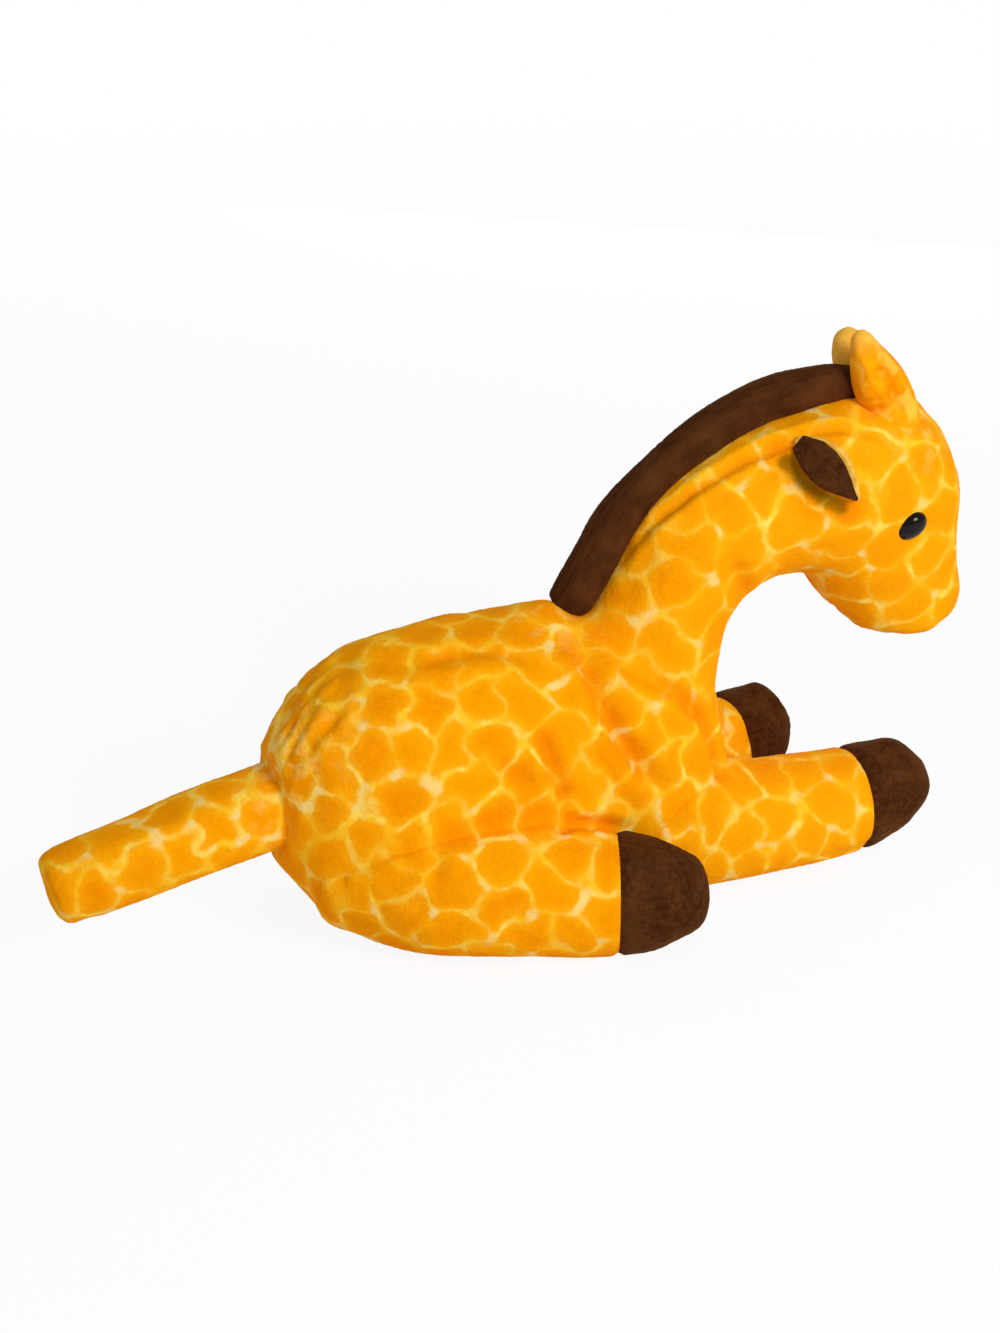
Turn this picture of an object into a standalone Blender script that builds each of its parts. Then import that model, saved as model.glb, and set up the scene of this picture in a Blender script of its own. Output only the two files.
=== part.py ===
# Plush giraffe lying on its belly: sewn plush skins over stuffing, with soft
# joints at the neck, head, legs, tail, ears and horns.
# +X runs towards the nose, +Y to the toy's left, +Z up. The origin is the middle
# of the flat patch under the belly that the toy rests on.

import math

import bmesh
import bpy
from mathutils import Matrix, Vector

MM = 0.001

# Cloth, stuffing and the clearances between sewn pieces
skin_thickness = 2.0 * MM
stuffing_clearance = 0.5 * MM
stuffing_end_room = 4.0 * MM     # left for a soft joint to bend
seam_gap = 0.3 * MM
head_turn_gap = 0.6 * MM    # the head's wide end sweeps past the neck's between its limits
floor_bite = 0.5 * MM       # how far the soft underside is pressed flat
cut_overrun = 4.0 * MM
seam_allowance = 5.0 * MM    # of a tube's skin, turned in round the opening it is sewn to

# Torso, from the rump to the chest
torso_length = 124.0 * MM
torso_width = 64.0 * MM
torso_height = 77.0 * MM
torso_rear_share = 0.51     # share of the length that lies behind the origin
# each row: along the length, height of the middle, half width, half height
torso_shares = (
    (0.00, 0.50, 0.26, 0.28),
    (0.08, 0.475, 0.72, 0.80),
    (0.27, 0.50, 1.00, 1.03),
    (0.50, 0.50, 1.03, 1.04),
    (0.75, 0.49, 0.93, 0.97),
    (0.94, 0.46, 0.62, 0.62),
    (1.00, 0.45, 0.25, 0.26),
)
torso_sag_share = 0.14      # how much its low sides spread under the pellets

# Neck, a curved tube from inside the shoulders to the back of the head
neck_reach = 44.0 * MM
neck_rise = 58.0 * MM
neck_width = 34.0 * MM
neck_depth = 40.0 * MM
neck_root_share = (0.80, 0.52)      # along and up the torso
neck_hinge_share = 0.20     # of its rise, where it nods
# each row: forward, up, half width, half depth
neck_shares = (
    (0.00, 0.00, 1.25, 1.20),
    (0.08, 0.34, 1.08, 1.02),
    (0.18, 0.64, 0.98, 0.94),
    (0.42, 0.90, 1.00, 1.00),
    (0.78, 1.02, 1.08, 1.08),
    (1.10, 1.03, 1.08, 1.10),
)

# Head, from its round back to the blunt muzzle that points down
head_reach = 61.0 * MM
head_drop = 42.0 * MM
head_width = 43.0 * MM
head_depth = 46.5 * MM
head_back = 19.0 * MM       # from the turning point back to the head's round end
# each row: forward, down, half width, half depth
head_shares = (
    (0.00, 0.01, 0.42, 0.42),
    (0.12, -0.02, 0.88, 0.86),
    (0.45, -0.05, 1.02, 1.04),
    (0.74, -0.05, 1.03, 1.14),
    (0.77, 0.38, 0.88, 0.95),
    (0.89, 0.74, 0.68, 0.75),
    (0.97, 1.01, 0.46, 0.52),
)

# Tail, a stuffed tube with a blunt sewn end
tail_length = 63.0 * MM
tail_thickness = 21.0 * MM
tail_droop = 11.0           # degrees below level
tail_inset = 6.0 * MM       # how deep its turning point lies in the rump
tail_height_share = 0.455   # of the torso's height
tail_shares = (
    (-0.10, 0.95, 0.98),
    (0.14, 1.04, 1.10),
    (0.50, 1.02, 1.04),
    (0.92, 0.90, 0.94),
    (1.00, 0.80, 0.78),
)

# Legs: the plush tube of the leg, then the hoof sewn on its end
fore_length = 67.0 * MM     # from the shoulder's turning point to the hoof's tip
fore_thickness = 32.0 * MM
fore_hoof_length = 19.0 * MM
fore_track = 31.5 * MM      # between the two shoulders' turning points
fore_root_share = {"right": 0.875, "left": 0.75}    # along the torso
hind_length = 69.0 * MM
hind_thickness = 37.0 * MM
hind_hoof_length = 24.0 * MM
hind_track = 44.0 * MM
hind_root_share = 0.30
# each row: along the leg, rise of the middle over the thickness, half width, half height
fore_shares = (
    (-0.17, 0.50, 0.86, 0.88),
    (0.28, 0.50, 1.00, 1.04),
    (0.70, 0.47, 0.88, 0.90),
    (0.87, 0.54, 0.89, 0.93),
    (1.02, 0.72, 0.52, 0.56),
)
hind_shares = (
    (-0.35, 0.50, 0.60, 0.62),
    (-0.17, 0.50, 0.98, 0.98),
    (0.22, 0.50, 1.00, 1.02),
    (0.64, 0.40, 0.79, 0.80),
    (0.84, 0.38, 0.80, 0.80),
    (1.00, 0.37, 0.48, 0.50),
)
fore_splay = {"right": 2.0, "left": 11.0}       # degrees outwards
hind_splay = {"right": 21.0, "left": 30.0}

# Mane, a padded strip sewn along the crest of the neck and head
mane_width = 11.0 * MM
mane_height = 13.0 * MM
mane_sink_share = 0.30      # of its height, below the crest
mane_torso_rows = (3, 4)    # the sections whose crest it follows, from the shoulders
mane_neck_rows = (2, 5)     # to the crown
mane_head_rows = (2, 3)
mane_root_share = 0.55      # where it starts, between its two sections of the torso
mane_tip_share = 0.16       # where it ends, past its first section of the head
# each row: place along the crest, thickness
mane_shares = (
    (-0.02, 0.62),
    (0.06, 0.98),
    (0.24, 1.02),
    (0.42, 1.00),
    (0.60, 1.00),
    (0.80, 0.98),
    (0.97, 0.92),
    (1.00, 0.60),
)

# Horns on the crown
horn_length = 30.0 * MM
horn_thickness = 12.0 * MM
horn_spacing = 14.0 * MM
horn_root = {"right": 6.0 * MM, "left": 12.0 * MM}   # below the crown's skin
horn_place_share = (0.68, 0.50)     # forward and up on the head
horn_lean_back = {"right": 29.0, "left": 20.0}
horn_lean_out = {"right": 0.0, "left": -3.0}
horn_shares = (
    (0.00, 0.90, 0.90),
    (0.30, 0.98, 0.96),
    (0.80, 1.06, 1.00),
    (1.00, 0.72, 0.70),
)

# Ears: a plush back and a darker plush lining
ear_length = 23.0 * MM
ear_width = 14.0 * MM
ear_thickness = 3.4 * MM
ear_lining_thickness = 1.6 * MM
ear_lining_share = 0.80     # of the back's length and width
ear_root_spread = 13.0 * MM
ear_place_share = (0.24, -0.455)     # forward and down along the head
ear_hang = 46.0             # degrees the ear points below level, forwards
ear_flare = 29.0            # degrees it stands off the head
ear_shares = (
    (0.00, 0.66),
    (0.28, 1.06),
    (0.62, 1.00),
    (0.90, 0.56),
    (1.00, 0.26),
)

# Plastic safety eyes, each with a shank through the skin and a washer behind it
eye_diameter = 8.6 * MM
eye_bulge = 2.9 * MM
eye_shank_diameter = 3.0 * MM
eye_shank_length = 9.0 * MM
eye_hole_clearance = 0.2 * MM
washer_diameter = 11.0 * MM
washer_thickness = 1.2 * MM
washer_depth = 3.4 * MM     # from the skin's face to the washer's
eye_head_row = 4            # the head's section whose middle it looks out from
eye_direction_share = (-0.20, 0.90, 0.48)

# How far each soft joint gives, in degrees
neck_nod = (-10.0, 10.0)
head_turn = (-18.0, 18.0)
tail_lift = (-18.0, 18.0)
fore_swing = (-12.0, 12.0)
hind_spread = (-2.0, 20.0)
horn_bend = (-15.0, 15.0)
ear_flap = (-5.0, 20.0)

ring_sides = 8
pin_sides = 12

ORANGE = (0.90, 0.36, 0.02)
PALE = (0.95, 0.55, 0.12)
BROWN = (0.075, 0.022, 0.006)
BLACK = (0.004, 0.004, 0.004)
WADDING = (0.85, 0.84, 0.80)
PELLETS = (0.80, 0.80, 0.78)
NYLON = (0.72, 0.72, 0.70)

side_signs = {"right": -1.0, "left": 1.0}
hinges = {}         # joint name: (a point on its axis, the axis)


def new_collection(name):
    made = bpy.data.collections.new(name)
    bpy.context.scene.collection.children.link(made)
    return made


def finish(name, colour, roughness):
    made = bpy.data.materials.new(name)
    made.use_nodes = True
    shader = made.node_tree.nodes["Principled BSDF"]
    shader.inputs["Base Color"].default_value = (*colour, 1.0)
    shader.inputs["Roughness"].default_value = roughness
    shader.inputs["Metallic"].default_value = 0.0
    made.diffuse_color = (*colour, 1.0)
    return made


def show(piece, colour, roughness=0.95):
    piece.data.materials.append(finish(piece.name, colour, roughness))
    giraffe.objects.link(piece)
    return piece


def hide(piece):
    piece.hide_render = True
    piece.display_type = "WIRE"
    cutters.objects.link(piece)
    return piece


def object_from(name, cage, place, smooth=True):
    mesh = bpy.data.meshes.new(name)
    cage.to_mesh(mesh)
    cage.free()
    if smooth:
        mesh.shade_smooth()
    made = bpy.data.objects.new(name, mesh)
    made.matrix_world = place
    return made


class Form:
    """A soft stuffed shape: sections lofted along a spine in the form's own XZ plane."""

    def __init__(self, place, spine, halves, sag=0.0):
        self.place, self.spine, self.halves, self.sag = place, spine, halves, sag

    def climb(self, i):
        before = self.spine[max(i - 1, 0)]
        after = self.spine[min(i + 1, len(self.spine) - 1)]
        return math.atan2(after.z - before.z, after.x - before.x)

    def crest(self, i):
        """The form's topmost point at section i, in the world."""
        climb = self.climb(i)
        up = Vector((-math.sin(climb), 0, math.cos(climb)))
        return self.place @ (self.spine[i] + up * self.halves[i][1])

    def cage(self):
        cage = bmesh.new()
        swell = 1.0 / math.cos(math.pi / ring_sides)
        rings = []
        for i, (half_width, half_height) in enumerate(self.halves):
            turn = Matrix.Rotation(math.pi / 2 - self.climb(i), 4, "Y")
            size = Matrix.Diagonal((half_height * swell, half_width * swell, 1.0, 1.0))
            made = bmesh.ops.create_circle(
                cage, segments=ring_sides, radius=1.0,
                matrix=Matrix.Translation(self.spine[i]) @ turn @ size)
            for v in made["verts"]:
                v.co.y *= 1.0 - self.sag * (v.co.z - self.spine[i].z) / (half_height * swell)
            rings.append(made["verts"])
        for first, second in zip(rings, rings[1:]):
            edges = {e for ring in (first, second) for v in ring for e in v.link_edges
                     if e.other_vert(v) in ring}
            bmesh.ops.bridge_loops(cage, edges=list(edges))
        cage.faces.new(rings[0])
        cage.faces.new(rings[-1])
        bmesh.ops.recalc_face_normals(cage, faces=cage.faces[:])
        return cage

    def surface(self, name, place=None):
        made = object_from(name, self.cage(), place or self.place)
        smooth = made.modifiers.new("stuffed shape", "SUBSURF")
        smooth.levels = smooth.render_levels = 1
        return made

    def skin(self, name):
        """The plush, hollow inside; the pieces that meet it cut its ends open."""
        made = self.surface(name)
        wall = made.modifiers.new("skin", "SOLIDIFY")
        wall.thickness = skin_thickness
        wall.offset = -1.0
        return made

    def offset(self, name, distance, place=None):
        made = self.surface(name, place)
        moved = made.modifiers.new("offset", "DISPLACE")
        moved.strength = distance
        moved.mid_level = 0.0
        return made

    def stuffing(self, name):
        return self.offset(name, -skin_thickness - stuffing_clearance)

    def cutters(self, name, hinge=None, turns=(), gap=seam_gap):
        """This form with a gap round it, as another piece meets it: at rest, and turned
        about their hinge."""
        made = [hide(self.offset(name + "_at_rest", gap))]
        for degrees in turns:
            place = turned(self.place, *hinge, degrees)
            made.append(hide(self.offset(f"{name}_turned_{degrees:g}", gap, place)))
        return made

    def room(self, name):
        """This form with the room that stuffing leaves round it."""
        return hide(self.offset(name, stuffing_end_room))


def turned(place, pivot, axis, degrees):
    turn = Matrix.Rotation(math.radians(degrees), 4, axis)
    return Matrix.Translation(pivot) @ turn @ Matrix.Translation(-pivot) @ place


def reversed_turns(give):
    """How a parent piece seems to turn, seen from the child at each end of its travel."""
    return [-degrees for degrees in give]


def cut(piece, tools, solver="EXACT"):
    """The exact solver fails where the same soft form cuts a piece at rest and turned."""
    for tool in tools:
        trim = piece.modifiers.new("trim by " + tool.name, "BOOLEAN")
        trim.operation = "DIFFERENCE"
        trim.solver = solver
        trim.object = tool
    return piece


def pin(name, radius, length, place, segments=pin_sides):
    """A cylinder that starts at place and runs along its +Z."""
    cage = bmesh.new()
    bmesh.ops.create_cone(cage, cap_ends=True, segments=segments, radius1=radius, radius2=radius,
                          depth=length, matrix=Matrix.Translation((0, 0, length / 2)))
    return object_from(name, cage, place, smooth=False)


def block(name, place, size, along):
    """A cube whose middle lies at a distance along the place's +X."""
    cage = bmesh.new()
    bmesh.ops.create_cube(cage, size=size, matrix=Matrix.Translation((along, 0, 0)))
    return hide(object_from(name, cage, place, smooth=False))


def aimed(origin, direction, roll_towards=(0, 0, 1)):
    """A place at origin whose +X runs along direction and whose +Z leans to roll_towards."""
    along = Vector(direction).normalized()
    across = Vector(roll_towards).cross(along).normalized()
    turn = Matrix((along, across, along.cross(across))).transposed().to_4x4()
    return Matrix.Translation(origin) @ turn


def window(name, form_place, radius, length):
    """The opening in a larger skin that a smaller tube is sewn round."""
    return hide(pin(name, radius, length, form_place @ Matrix.Rotation(math.pi / 2, 4, "Y")))


def torso_form():
    rear = -torso_length * torso_rear_share
    spine = [Vector((rear + torso_length * along, 0, torso_height * middle - floor_bite))
             for along, middle, wide, tall in torso_shares]
    halves = [(torso_width / 2 * wide, torso_height / 2 * tall)
              for along, middle, wide, tall in torso_shares]
    return Form(Matrix.Identity(4), spine, halves, torso_sag_share)


def on_torso(along, up, across=0.0):
    return Vector((torso_length * (along - torso_rear_share), across, torso_height * up))


def neck_form():
    pivot = on_torso(*neck_root_share) + Vector((0, 0, neck_rise * neck_hinge_share))
    start = Vector((0, 0, -neck_rise * neck_hinge_share))
    spine = [start + Vector((neck_reach * forward, 0, neck_rise * up))
             for forward, up, wide, deep in neck_shares]
    halves = [(neck_width / 2 * wide, neck_depth / 2 * deep)
              for forward, up, wide, deep in neck_shares]
    return Form(Matrix.Translation(pivot), spine, halves)


def head_form():
    pivot = on_torso(*neck_root_share) + Vector((neck_reach, 0, neck_rise))
    spine = [Vector((head_reach * forward - head_back, 0, -head_drop * down))
             for forward, down, wide, deep in head_shares]
    halves = [(head_width / 2 * wide, head_depth / 2 * deep)
              for forward, down, wide, deep in head_shares]
    return Form(Matrix.Translation(pivot), spine, halves)


def tail_form():
    pivot = on_torso(0.0, tail_height_share) + Vector((tail_inset, 0, 0))
    droop = math.radians(tail_droop)
    spine = [Vector((tail_length * along, 0, 0)) for along, wide, tall in tail_shares]
    halves = [(tail_thickness / 2 * wide, tail_thickness / 2 * tall)
              for along, wide, tall in tail_shares]
    return Form(aimed(pivot, (-math.cos(droop), 0, -math.sin(droop))), spine, halves)


def leg_form(pivot, splay, length, thickness, shares):
    spine = [Vector((length * along, 0, thickness * rise - pivot.z - floor_bite))
             for along, rise, wide, tall in shares]
    halves = [(thickness / 2 * wide, thickness / 2 * tall) for along, rise, wide, tall in shares]
    place = Matrix.Translation(pivot) @ Matrix.Rotation(math.radians(splay), 4, "Z")
    return Form(place, spine, halves)


def make_torso(torso, openings):
    show(cut(torso.skin("torso_skin"), [*openings, floor]), ORANGE)
    show(torso.stuffing("torso_pellets"), PELLETS)


def make_neck(neck, torso, head):
    hinges["neck_nod"] = hinge = (neck.place.translation, "Y")
    hinges["head_turn"] = turn = (head.place.translation, "Z")
    tools = torso.cutters("torso_for_neck", hinge, reversed_turns(neck_nod))
    tools += head.cutters("head_for_neck", turn, head_turn, head_turn_gap)
    show(cut(neck.skin("neck_skin"), tools, "MANIFOLD"), ORANGE)
    ends = [torso.room("torso_room_for_neck"), head.room("head_room_for_neck")]
    show(cut(neck.stuffing("neck_stuffing"), ends), WADDING)


def make_tail(tail, torso):
    hinges["tail_lift"] = hinge = (tail.place.translation, "Y")
    tools = torso.cutters("torso_for_tail", hinge, reversed_turns(tail_lift))
    show(cut(tail.skin("tail_skin"), tools, "MANIFOLD"), ORANGE)
    show(cut(tail.stuffing("tail_stuffing"), [torso.room("torso_room_for_tail")]), WADDING)


def make_leg(name, leg, length, hoof_length, torso, axis, give):
    """The leg's plush tube and its hoof part at the seam round the same stuffed shape."""
    hinges[name] = hinge = (leg.place.translation, axis)
    tools = torso.cutters(f"torso_for_{name}", hinge, reversed_turns(give))
    seam = length - hoof_length
    beyond = block(name + "_past_seam", leg.place, length, seam - seam_gap / 2 + length / 2)
    before = block(name + "_up_to_seam", leg.place, 2 * length, seam + seam_gap / 2 - length)
    skin = cut(leg.skin(name + "_leg_skin"), tools, "MANIFOLD")
    show(cut(skin, [beyond, floor]), ORANGE)
    hoof = cut(leg.skin(name + "_hoof"), tools, "MANIFOLD")
    show(cut(hoof, [before, floor]), BROWN)
    ends = [*tools, torso.room(f"torso_room_for_{name}")]
    show(cut(leg.stuffing(name + "_leg_stuffing"), ends, "MANIFOLD"), WADDING)


def make_mane(torso, neck, head, horns):
    """The padded strip follows the crest from the shoulders to the crown."""
    before, after = (torso.crest(i) for i in mane_torso_rows)
    crest = [before.lerp(after, mane_root_share)]
    crest += [neck.crest(i) for i in range(*mane_neck_rows)]
    before, after = (head.crest(i) for i in mane_head_rows)
    crest += [before, before.lerp(after, mane_tip_share)]
    walked = [0.0]
    for before, after in zip(crest, crest[1:]):
        walked.append(walked[-1] + (after - before).length)
    length = walked[-1]
    spine = []
    for along, thick in mane_shares:
        reach = along * length
        i = max(1, next((k for k, w in enumerate(walked) if w >= reach), len(crest) - 1))
        part_way = (reach - walked[i - 1]) / (walked[i] - walked[i - 1])
        spine.append(crest[i - 1].lerp(crest[i], part_way))
    halves = [(mane_width / 2 * thick, mane_height / 2 * thick) for along, thick in mane_shares]
    strip = Form(Matrix.Identity(4), spine, halves)
    lift = mane_height * (0.5 - mane_sink_share)
    strip.spine = [place + Vector((-math.sin(strip.climb(i)), 0, math.cos(strip.climb(i)))) * lift
                   for i, place in enumerate(spine)]
    met = [(torso, "torso"), (neck, "neck"), (head, "head"), *((horn, "horn") for horn in horns)]
    tools = [made for form, name in met for made in form.cutters(name + "_for_mane")]
    show(cut(strip.surface("mane"), tools, "MANIFOLD"), BROWN)


def make_horn(side, head):
    sign = side_signs[side]
    back = math.radians(horn_lean_back[side])
    out = math.radians(horn_lean_out[side])
    forward, up = horn_place_share
    foot = head.place @ Vector((head_reach * forward - head_back, sign * horn_spacing / 2,
                                head_depth * up))
    direction = Vector((-math.sin(back), sign * math.sin(out), math.cos(back) * math.cos(out)))
    hinges["horn_" + side] = hinge = (foot, "Y")
    spine = [Vector((horn_length * along - horn_root[side], 0, 0))
             for along, wide, deep in horn_shares]
    halves = [(horn_thickness / 2 * wide, horn_thickness / 2 * deep)
              for along, wide, deep in horn_shares]
    tools = head.cutters("head_for_horn_" + side, hinge, reversed_turns(horn_bend))
    horn = Form(aimed(foot, direction, (-1, 0, 0)), spine, halves)
    show(cut(horn.surface("horn_" + side), tools, "MANIFOLD"), PALE)
    return horn


def make_ear(side, head, neck):
    sign = side_signs[side]
    hang, flare = math.radians(ear_hang), math.radians(ear_flare)
    direction = Vector((math.cos(hang) * math.cos(flare), sign * math.sin(flare),
                        -math.sin(hang) * math.cos(flare)))
    forward, down = ear_place_share
    root = head.place @ Vector((head_reach * forward - head_back, sign * ear_root_spread,
                                -head_drop * down))
    place = aimed(root, direction, (0, sign, 0))
    across = place.to_3x3() @ Vector((0, 1, 0))
    hinges["ear_" + side] = hinge = (root, -across)
    spine = [Vector((ear_length * along, 0, 0)) for along, wide in ear_shares]
    halves = [(ear_width / 2 * wide, ear_thickness / 2) for along, wide in ear_shares]
    back = Form(place, spine, halves)
    turn = (head.place.translation, "Z")
    tools = head.cutters("head_for_ear_" + side, hinge, reversed_turns(ear_flap))
    tools += neck.cutters("neck_for_ear_" + side, turn, reversed_turns(head_turn))
    show(cut(back.surface("ear_back_" + side), tools, "MANIFOLD"), PALE)
    facing = Matrix.Translation((ear_length * ear_lining_share / 4, 0, ear_thickness / 2))
    lining_spine = [point * ear_lining_share for point in spine]
    lining_halves = [(half * ear_lining_share, ear_lining_thickness) for half, thick in halves]
    lining = Form(place @ facing, lining_spine, lining_halves)
    tools = tools + back.cutters("back_for_ear_lining_" + side)
    show(cut(lining.surface("ear_lining_" + side), tools, "MANIFOLD"), BROWN)


def eye_place(side, head, head_surface):
    """Where the eye's shank passes through the head's skin, with +Z pointing out of it."""
    sign = side_signs[side]
    middle = head.spine[eye_head_row]
    forward, across, up = eye_direction_share
    direction = Vector((forward, sign * across, up)).normalized()
    far = head_reach
    hit, point, normal, face = head_surface.ray_cast(middle + direction * far, -direction)
    turn = normal.to_track_quat("Z", "Y").to_matrix().to_4x4()
    return head.place @ Matrix.Translation(point) @ turn


def make_eye(side, place):
    """A domed eye with its shank, and the washer that locks it behind the skin."""
    dome = bmesh.new()
    bmesh.ops.create_uvsphere(dome, u_segments=pin_sides, v_segments=8, radius=eye_diameter / 2)
    below = [v for v in dome.verts if v.co.z < -eye_diameter * 0.01]
    bmesh.ops.delete(dome, geom=below, context="VERTS")
    bmesh.ops.holes_fill(dome, edges=[e for e in dome.edges if e.is_boundary])
    flat = eye_bulge / (eye_diameter / 2)
    bmesh.ops.scale(dome, vec=(1, 1, flat), verts=dome.verts[:])
    bmesh.ops.translate(dome, vec=(0, 0, seam_gap), verts=dome.verts[:])
    eye = object_from("eye_" + side, dome, place)
    down = place @ Matrix.Rotation(math.pi, 4, "X") @ Matrix.Translation((0, 0, -eye_bulge / 2))
    shank = hide(pin("shank_" + side, eye_shank_diameter / 2, eye_shank_length + eye_bulge / 2, down))
    joined = eye.modifiers.new("shank", "BOOLEAN")
    joined.operation = "UNION"
    joined.object = shank
    show(eye, BLACK, 0.08)
    behind = place @ Matrix.Translation((0, 0, -washer_depth - washer_thickness))
    bore = eye_shank_diameter / 2 + eye_hole_clearance
    hole = hide(pin("washer_bore_" + side, bore, washer_thickness + 2 * cut_overrun,
                    behind @ Matrix.Translation((0, 0, -cut_overrun))))
    washer = pin("eye_washer_" + side, washer_diameter / 2, washer_thickness, behind)
    show(cut(washer, [hole]), NYLON, 0.5)
    return hole


def make_head(head, openings):
    surface = head.offset("head_surface", 0.0)
    hide(surface)
    bpy.context.view_layer.update()
    shape = surface.evaluated_get(bpy.context.evaluated_depsgraph_get())
    holes, pockets = [], []
    for side in side_signs:
        place = eye_place(side, head, shape)
        holes.append(make_eye(side, place))
        deep = eye_shank_length + cut_overrun
        pockets.append(hide(pin("pocket_" + side, washer_diameter / 2 + stuffing_clearance,
                                washer_depth + washer_thickness + cut_overrun,
                                place @ Matrix.Translation((0, 0, -washer_depth - washer_thickness
                                                            - stuffing_clearance)))))
        pockets.append(hide(pin("shank_pocket_" + side, eye_shank_diameter / 2 + stuffing_clearance,
                                deep + stuffing_clearance,
                                place @ Matrix.Translation((0, 0, -deep)))))
    show(cut(head.skin("head_skin"), [*openings, *holes]), ORANGE)
    show(cut(head.stuffing("head_stuffing"), pockets), WADDING)


for old in list(bpy.data.objects):
    bpy.data.objects.remove(old)
giraffe = new_collection("plush_giraffe")
cutters = new_collection("cutters")

under = Matrix.Rotation(math.pi / 2, 4, "Y")       # its +X points down
floor = block("floor", under, 4 * torso_length, 2 * torso_length)

torso, neck, head, tail = torso_form(), neck_form(), head_form(), tail_form()
horns = []
torso_openings = [
    window("neck_window", aimed(neck.place.translation, neck.spine[2] - neck.spine[1]),
           neck_width / 2 - seam_allowance, neck_rise),
    window("tail_window", tail.place, tail_thickness / 2 - seam_allowance, tail_length / 2),
]
for side, sign in side_signs.items():
    for name, along, track, splay, length, hoof_length, thickness, shares, axis, give in (
            ("fore_" + side, fore_root_share[side], fore_track, fore_splay[side], fore_length,
             fore_hoof_length, fore_thickness, fore_shares, "Y", fore_swing),
            ("hind_" + side, hind_root_share, hind_track, hind_splay[side], hind_length,
             hind_hoof_length, hind_thickness, hind_shares, "Z", hind_spread)):
        pivot = on_torso(along, 0.0, sign * track / 2) + Vector((0, 0, thickness / 2))
        leg = leg_form(pivot, sign * splay, length, thickness, shares)
        spread = give if axis == "Y" else [sign * degrees for degrees in give]
        make_leg(name, leg, length, hoof_length, torso, axis, spread)
        outwards = (0, sign, 0) if axis == "Z" else leg.place.to_3x3() @ Vector((1, 0, 0))
        torso_openings.append(window(name + "_window", aimed(pivot, outwards),
                                     thickness / 4, thickness))
    horns.append(make_horn(side, head))
    make_ear(side, head, neck)
make_torso(torso, torso_openings)
make_neck(neck, torso, head)
make_tail(tail, torso)
make_mane(torso, neck, head, horns)
neck_opening = window("head_window", aimed(head.place.translation, (-1, 0, 0)),
                      neck_width / 2 - seam_allowance, head_reach)
make_head(head, [neck_opening])
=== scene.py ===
# A stuffed plush giraffe that lies on its belly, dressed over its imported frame.
import math

import bmesh
import bpy
import numpy as np
from mathutils import Matrix, Vector
from mathutils.bvhtree import BVHTree
from mathutils.kdtree import KDTree


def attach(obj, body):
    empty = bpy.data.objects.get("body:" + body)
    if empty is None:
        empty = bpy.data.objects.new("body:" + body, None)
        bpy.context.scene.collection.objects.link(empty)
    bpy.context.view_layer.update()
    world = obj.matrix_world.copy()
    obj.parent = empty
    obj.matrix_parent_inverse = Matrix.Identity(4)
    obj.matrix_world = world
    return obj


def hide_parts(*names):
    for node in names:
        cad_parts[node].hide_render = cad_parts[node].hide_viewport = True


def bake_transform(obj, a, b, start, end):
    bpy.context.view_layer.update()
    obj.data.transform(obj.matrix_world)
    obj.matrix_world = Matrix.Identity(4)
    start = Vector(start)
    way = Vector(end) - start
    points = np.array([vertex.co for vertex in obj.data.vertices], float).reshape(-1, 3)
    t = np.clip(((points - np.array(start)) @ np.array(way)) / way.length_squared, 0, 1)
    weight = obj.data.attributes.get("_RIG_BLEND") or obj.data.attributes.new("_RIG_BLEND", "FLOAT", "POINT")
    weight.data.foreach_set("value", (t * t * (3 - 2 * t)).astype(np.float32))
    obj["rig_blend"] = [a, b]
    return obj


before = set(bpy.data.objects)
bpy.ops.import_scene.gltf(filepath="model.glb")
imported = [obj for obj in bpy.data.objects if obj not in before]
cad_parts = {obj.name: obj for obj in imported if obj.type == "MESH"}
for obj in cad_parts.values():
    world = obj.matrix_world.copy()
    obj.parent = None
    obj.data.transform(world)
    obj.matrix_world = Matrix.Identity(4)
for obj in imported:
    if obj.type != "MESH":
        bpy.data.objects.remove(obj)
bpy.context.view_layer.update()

mm = 0.001
sideSigns = {"right": -1.0, "left": 1.0}

studio = {
    "azimuth": -22.0,       # degrees round the toy, from its right side
    "elevation": 24.0,
    "distance": 650 * mm,
    "aim": (0.0, 0.0, 70 * mm),
    "lens": 70.2,
    "sensorWidth": 36.0,
    "shift": -0.0199,       # the toy sits a little above the middle of the picture
    # each lamp: metres to the right, up and towards the camera, then its size and its watts
    "lamps": {
        "key light": (0.50, 0.18, 0.62, 0.28, 4.75),
        "fill light": (-0.70, 0.30, 0.55, 0.70, 0.9),
        "back light": (0.15, 0.22, -0.70, 0.60, 2.3),
    },
    "skyStrength": 0.43,
    "floorSize": 6.0,
    "floorDrop": 0.25 * mm,
    "floorShades": (0.90, 0.93),
    "floorWhite": 0.91,     # share of the floor near the toy that shows as plain white
    "whiteFrom": (0.35, 0.95),      # metres from the toy over which it turns all white
}


# Mesh helpers

def deselect():
    if bpy.context.mode != "OBJECT":
        bpy.ops.object.mode_set(mode="OBJECT")
    bpy.ops.object.select_all(action="DESELECT")


def pick(*pieces):
    deselect()
    for piece in pieces:
        piece.select_set(True)
    bpy.context.view_layer.objects.active = pieces[0]


def applyModifier(piece, kind, **settings):
    pick(piece)
    made = piece.modifiers.new(kind.lower(), kind)
    for name, value in settings.items():
        setattr(made, name, value)
    bpy.ops.object.modifier_apply(modifier=made.name)


def subdivide(piece, levels):
    applyModifier(piece, "SUBSURF", levels=levels, render_levels=levels)


def vectorsOf(items, name):
    flat = np.empty(len(items) * 3)
    items.foreach_get(name, flat)
    return flat.reshape(-1, 3)


def places(piece):
    return vectorsOf(piece.data.vertices, "co")


def normals(piece):
    return vectorsOf(piece.data.vertex_normals, "vector")


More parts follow.
